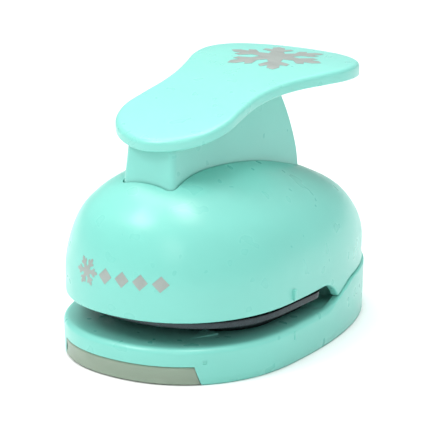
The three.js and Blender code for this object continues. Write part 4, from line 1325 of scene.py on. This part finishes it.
# ---- Stage -----------------------------------------------------------------------------
def softbox(name, place, size, power):
    """A square studio softbox that faces the punch."""
    light = bpy.data.lights.new(name, "AREA")
    light.shape, light.size, light.energy = "SQUARE", size, power
    lamp = bpy.data.objects.new(name, light)
    lamp.location = place
    lamp.rotation_euler = (Vector(LIGHT_AIM) - Vector(place)).to_track_quat("-Z", "Y").to_euler()
    bpy.context.scene.collection.objects.link(lamp)


class PUNCH_OT_stage(bpy.types.Operator):
    """Pale floor, softboxes and the camera"""
    bl_idname = "craft_punch.stage"
    bl_label = "Stage"

    def execute(self, context):
        scene = context.scene
        reach = FLOOR_REACH / MM
        floor = new_object("floor", ([(-reach, -reach, 0), (reach, -reach, 0), (reach, reach, 0),
                                      (-reach, reach, 0)], [(0, 1, 2, 3)]))
        material, tree, shader, place = new_material("Paper floor, matt", Roughness=0.9)
        fibre = noise(tree, place, 2, 3)
        tone = two_tones(tree, fibre, tuple(scene.punch_colours.floor), 0.995, 1.0)
        tree.links.new(tone, shader.inputs["Base Color"])
        floor.data.materials.append(material)
        world = bpy.data.worlds.new("Studio")
        world.use_nodes = True
        sky = world.node_tree
        up = add_node(sky, "ShaderNodeSeparateXYZ", links={
            0: add_node(sky, "ShaderNodeTexCoord").outputs["Generated"]})
        glow = add_node(sky, "ShaderNodeMapRange", {"To Min": SKY_HORIZON, "To Max": SKY_ZENITH},
                        {"Value": up.outputs["Z"]})
        background = sky.nodes["Background"]
        background.inputs["Color"].default_value = (1, 1, 1, 1)
        sky.links.new(glow.outputs["Result"], background.inputs["Strength"])
        scene.world = world
        for name, (place, size, power) in SOFTBOXES.items():
            softbox(name, place, size, power)
        ceiling = bpy.data.lights.new("Ceiling diffuser", "SUN")
        ceiling.energy, ceiling.angle = CEILING_STRENGTH, CEILING_SPREAD
        lamp = bpy.data.objects.new("Ceiling diffuser", ceiling)
        lamp.rotation_euler = CEILING_TILT
        scene.collection.objects.link(lamp)
        scene.view_settings.view_transform = "Standard"
        camera = bpy.data.objects.new("Camera", bpy.data.cameras.new("Camera"))
        camera.data.sensor_width, camera.data.lens = CAMERA_SENSOR, CAMERA_LENS
        camera.data.clip_end = 20
        camera.location = CAMERA_PLACE
        aim = Vector(CAMERA_AIM) - camera.location
        camera.rotation_euler = aim.to_track_quat("-Z", "Y").to_euler()
        scene.collection.objects.link(camera)
        scene.camera = camera
        return {"FINISHED"}


class PUNCH_PT_panel(bpy.types.Panel):
    """Sidebar panel with the sizes, the colours and a button for each group of pieces"""
    bl_idname = "PUNCH_PT_panel"
    bl_label = "Craft Punch"
    bl_space_type = "VIEW_3D"
    bl_region_type = "UI"
    bl_category = "Craft Punch"

    def draw(self, context):
        scene = context.scene
        for settings in (scene.punch_sizes, scene.punch_colours):
            box = self.layout.box()
            for name in type(settings).__annotations__:
                box.prop(settings, name)
        for operator in OPERATORS:
            self.layout.operator(operator.bl_idname)


OPERATORS = (
    PUNCH_OT_stage, PUNCH_OT_base, PUNCH_OT_dome, PUNCH_OT_lever, PUNCH_OT_prints,
    PUNCH_OT_tray, PUNCH_OT_plates, PUNCH_OT_plunger, PUNCH_OT_springs, PUNCH_OT_fasteners,
)
CLASSES = (PunchSizes, PunchColours, *OPERATORS, PUNCH_PT_panel)


def register():
    for listed in CLASSES:
        bpy.utils.register_class(listed)
    bpy.types.Scene.punch_sizes = PointerProperty(type=PunchSizes)
    bpy.types.Scene.punch_colours = PointerProperty(type=PunchColours)


def unregister():
    del bpy.types.Scene.punch_sizes
    del bpy.types.Scene.punch_colours
    for listed in reversed(CLASSES):
        bpy.utils.unregister_class(listed)


def main():
    register()
    for operator in OPERATORS:
        group, name = operator.bl_idname.split(".")
        getattr(getattr(bpy.ops, group), name)()


if __name__ == "__main__":
    main()
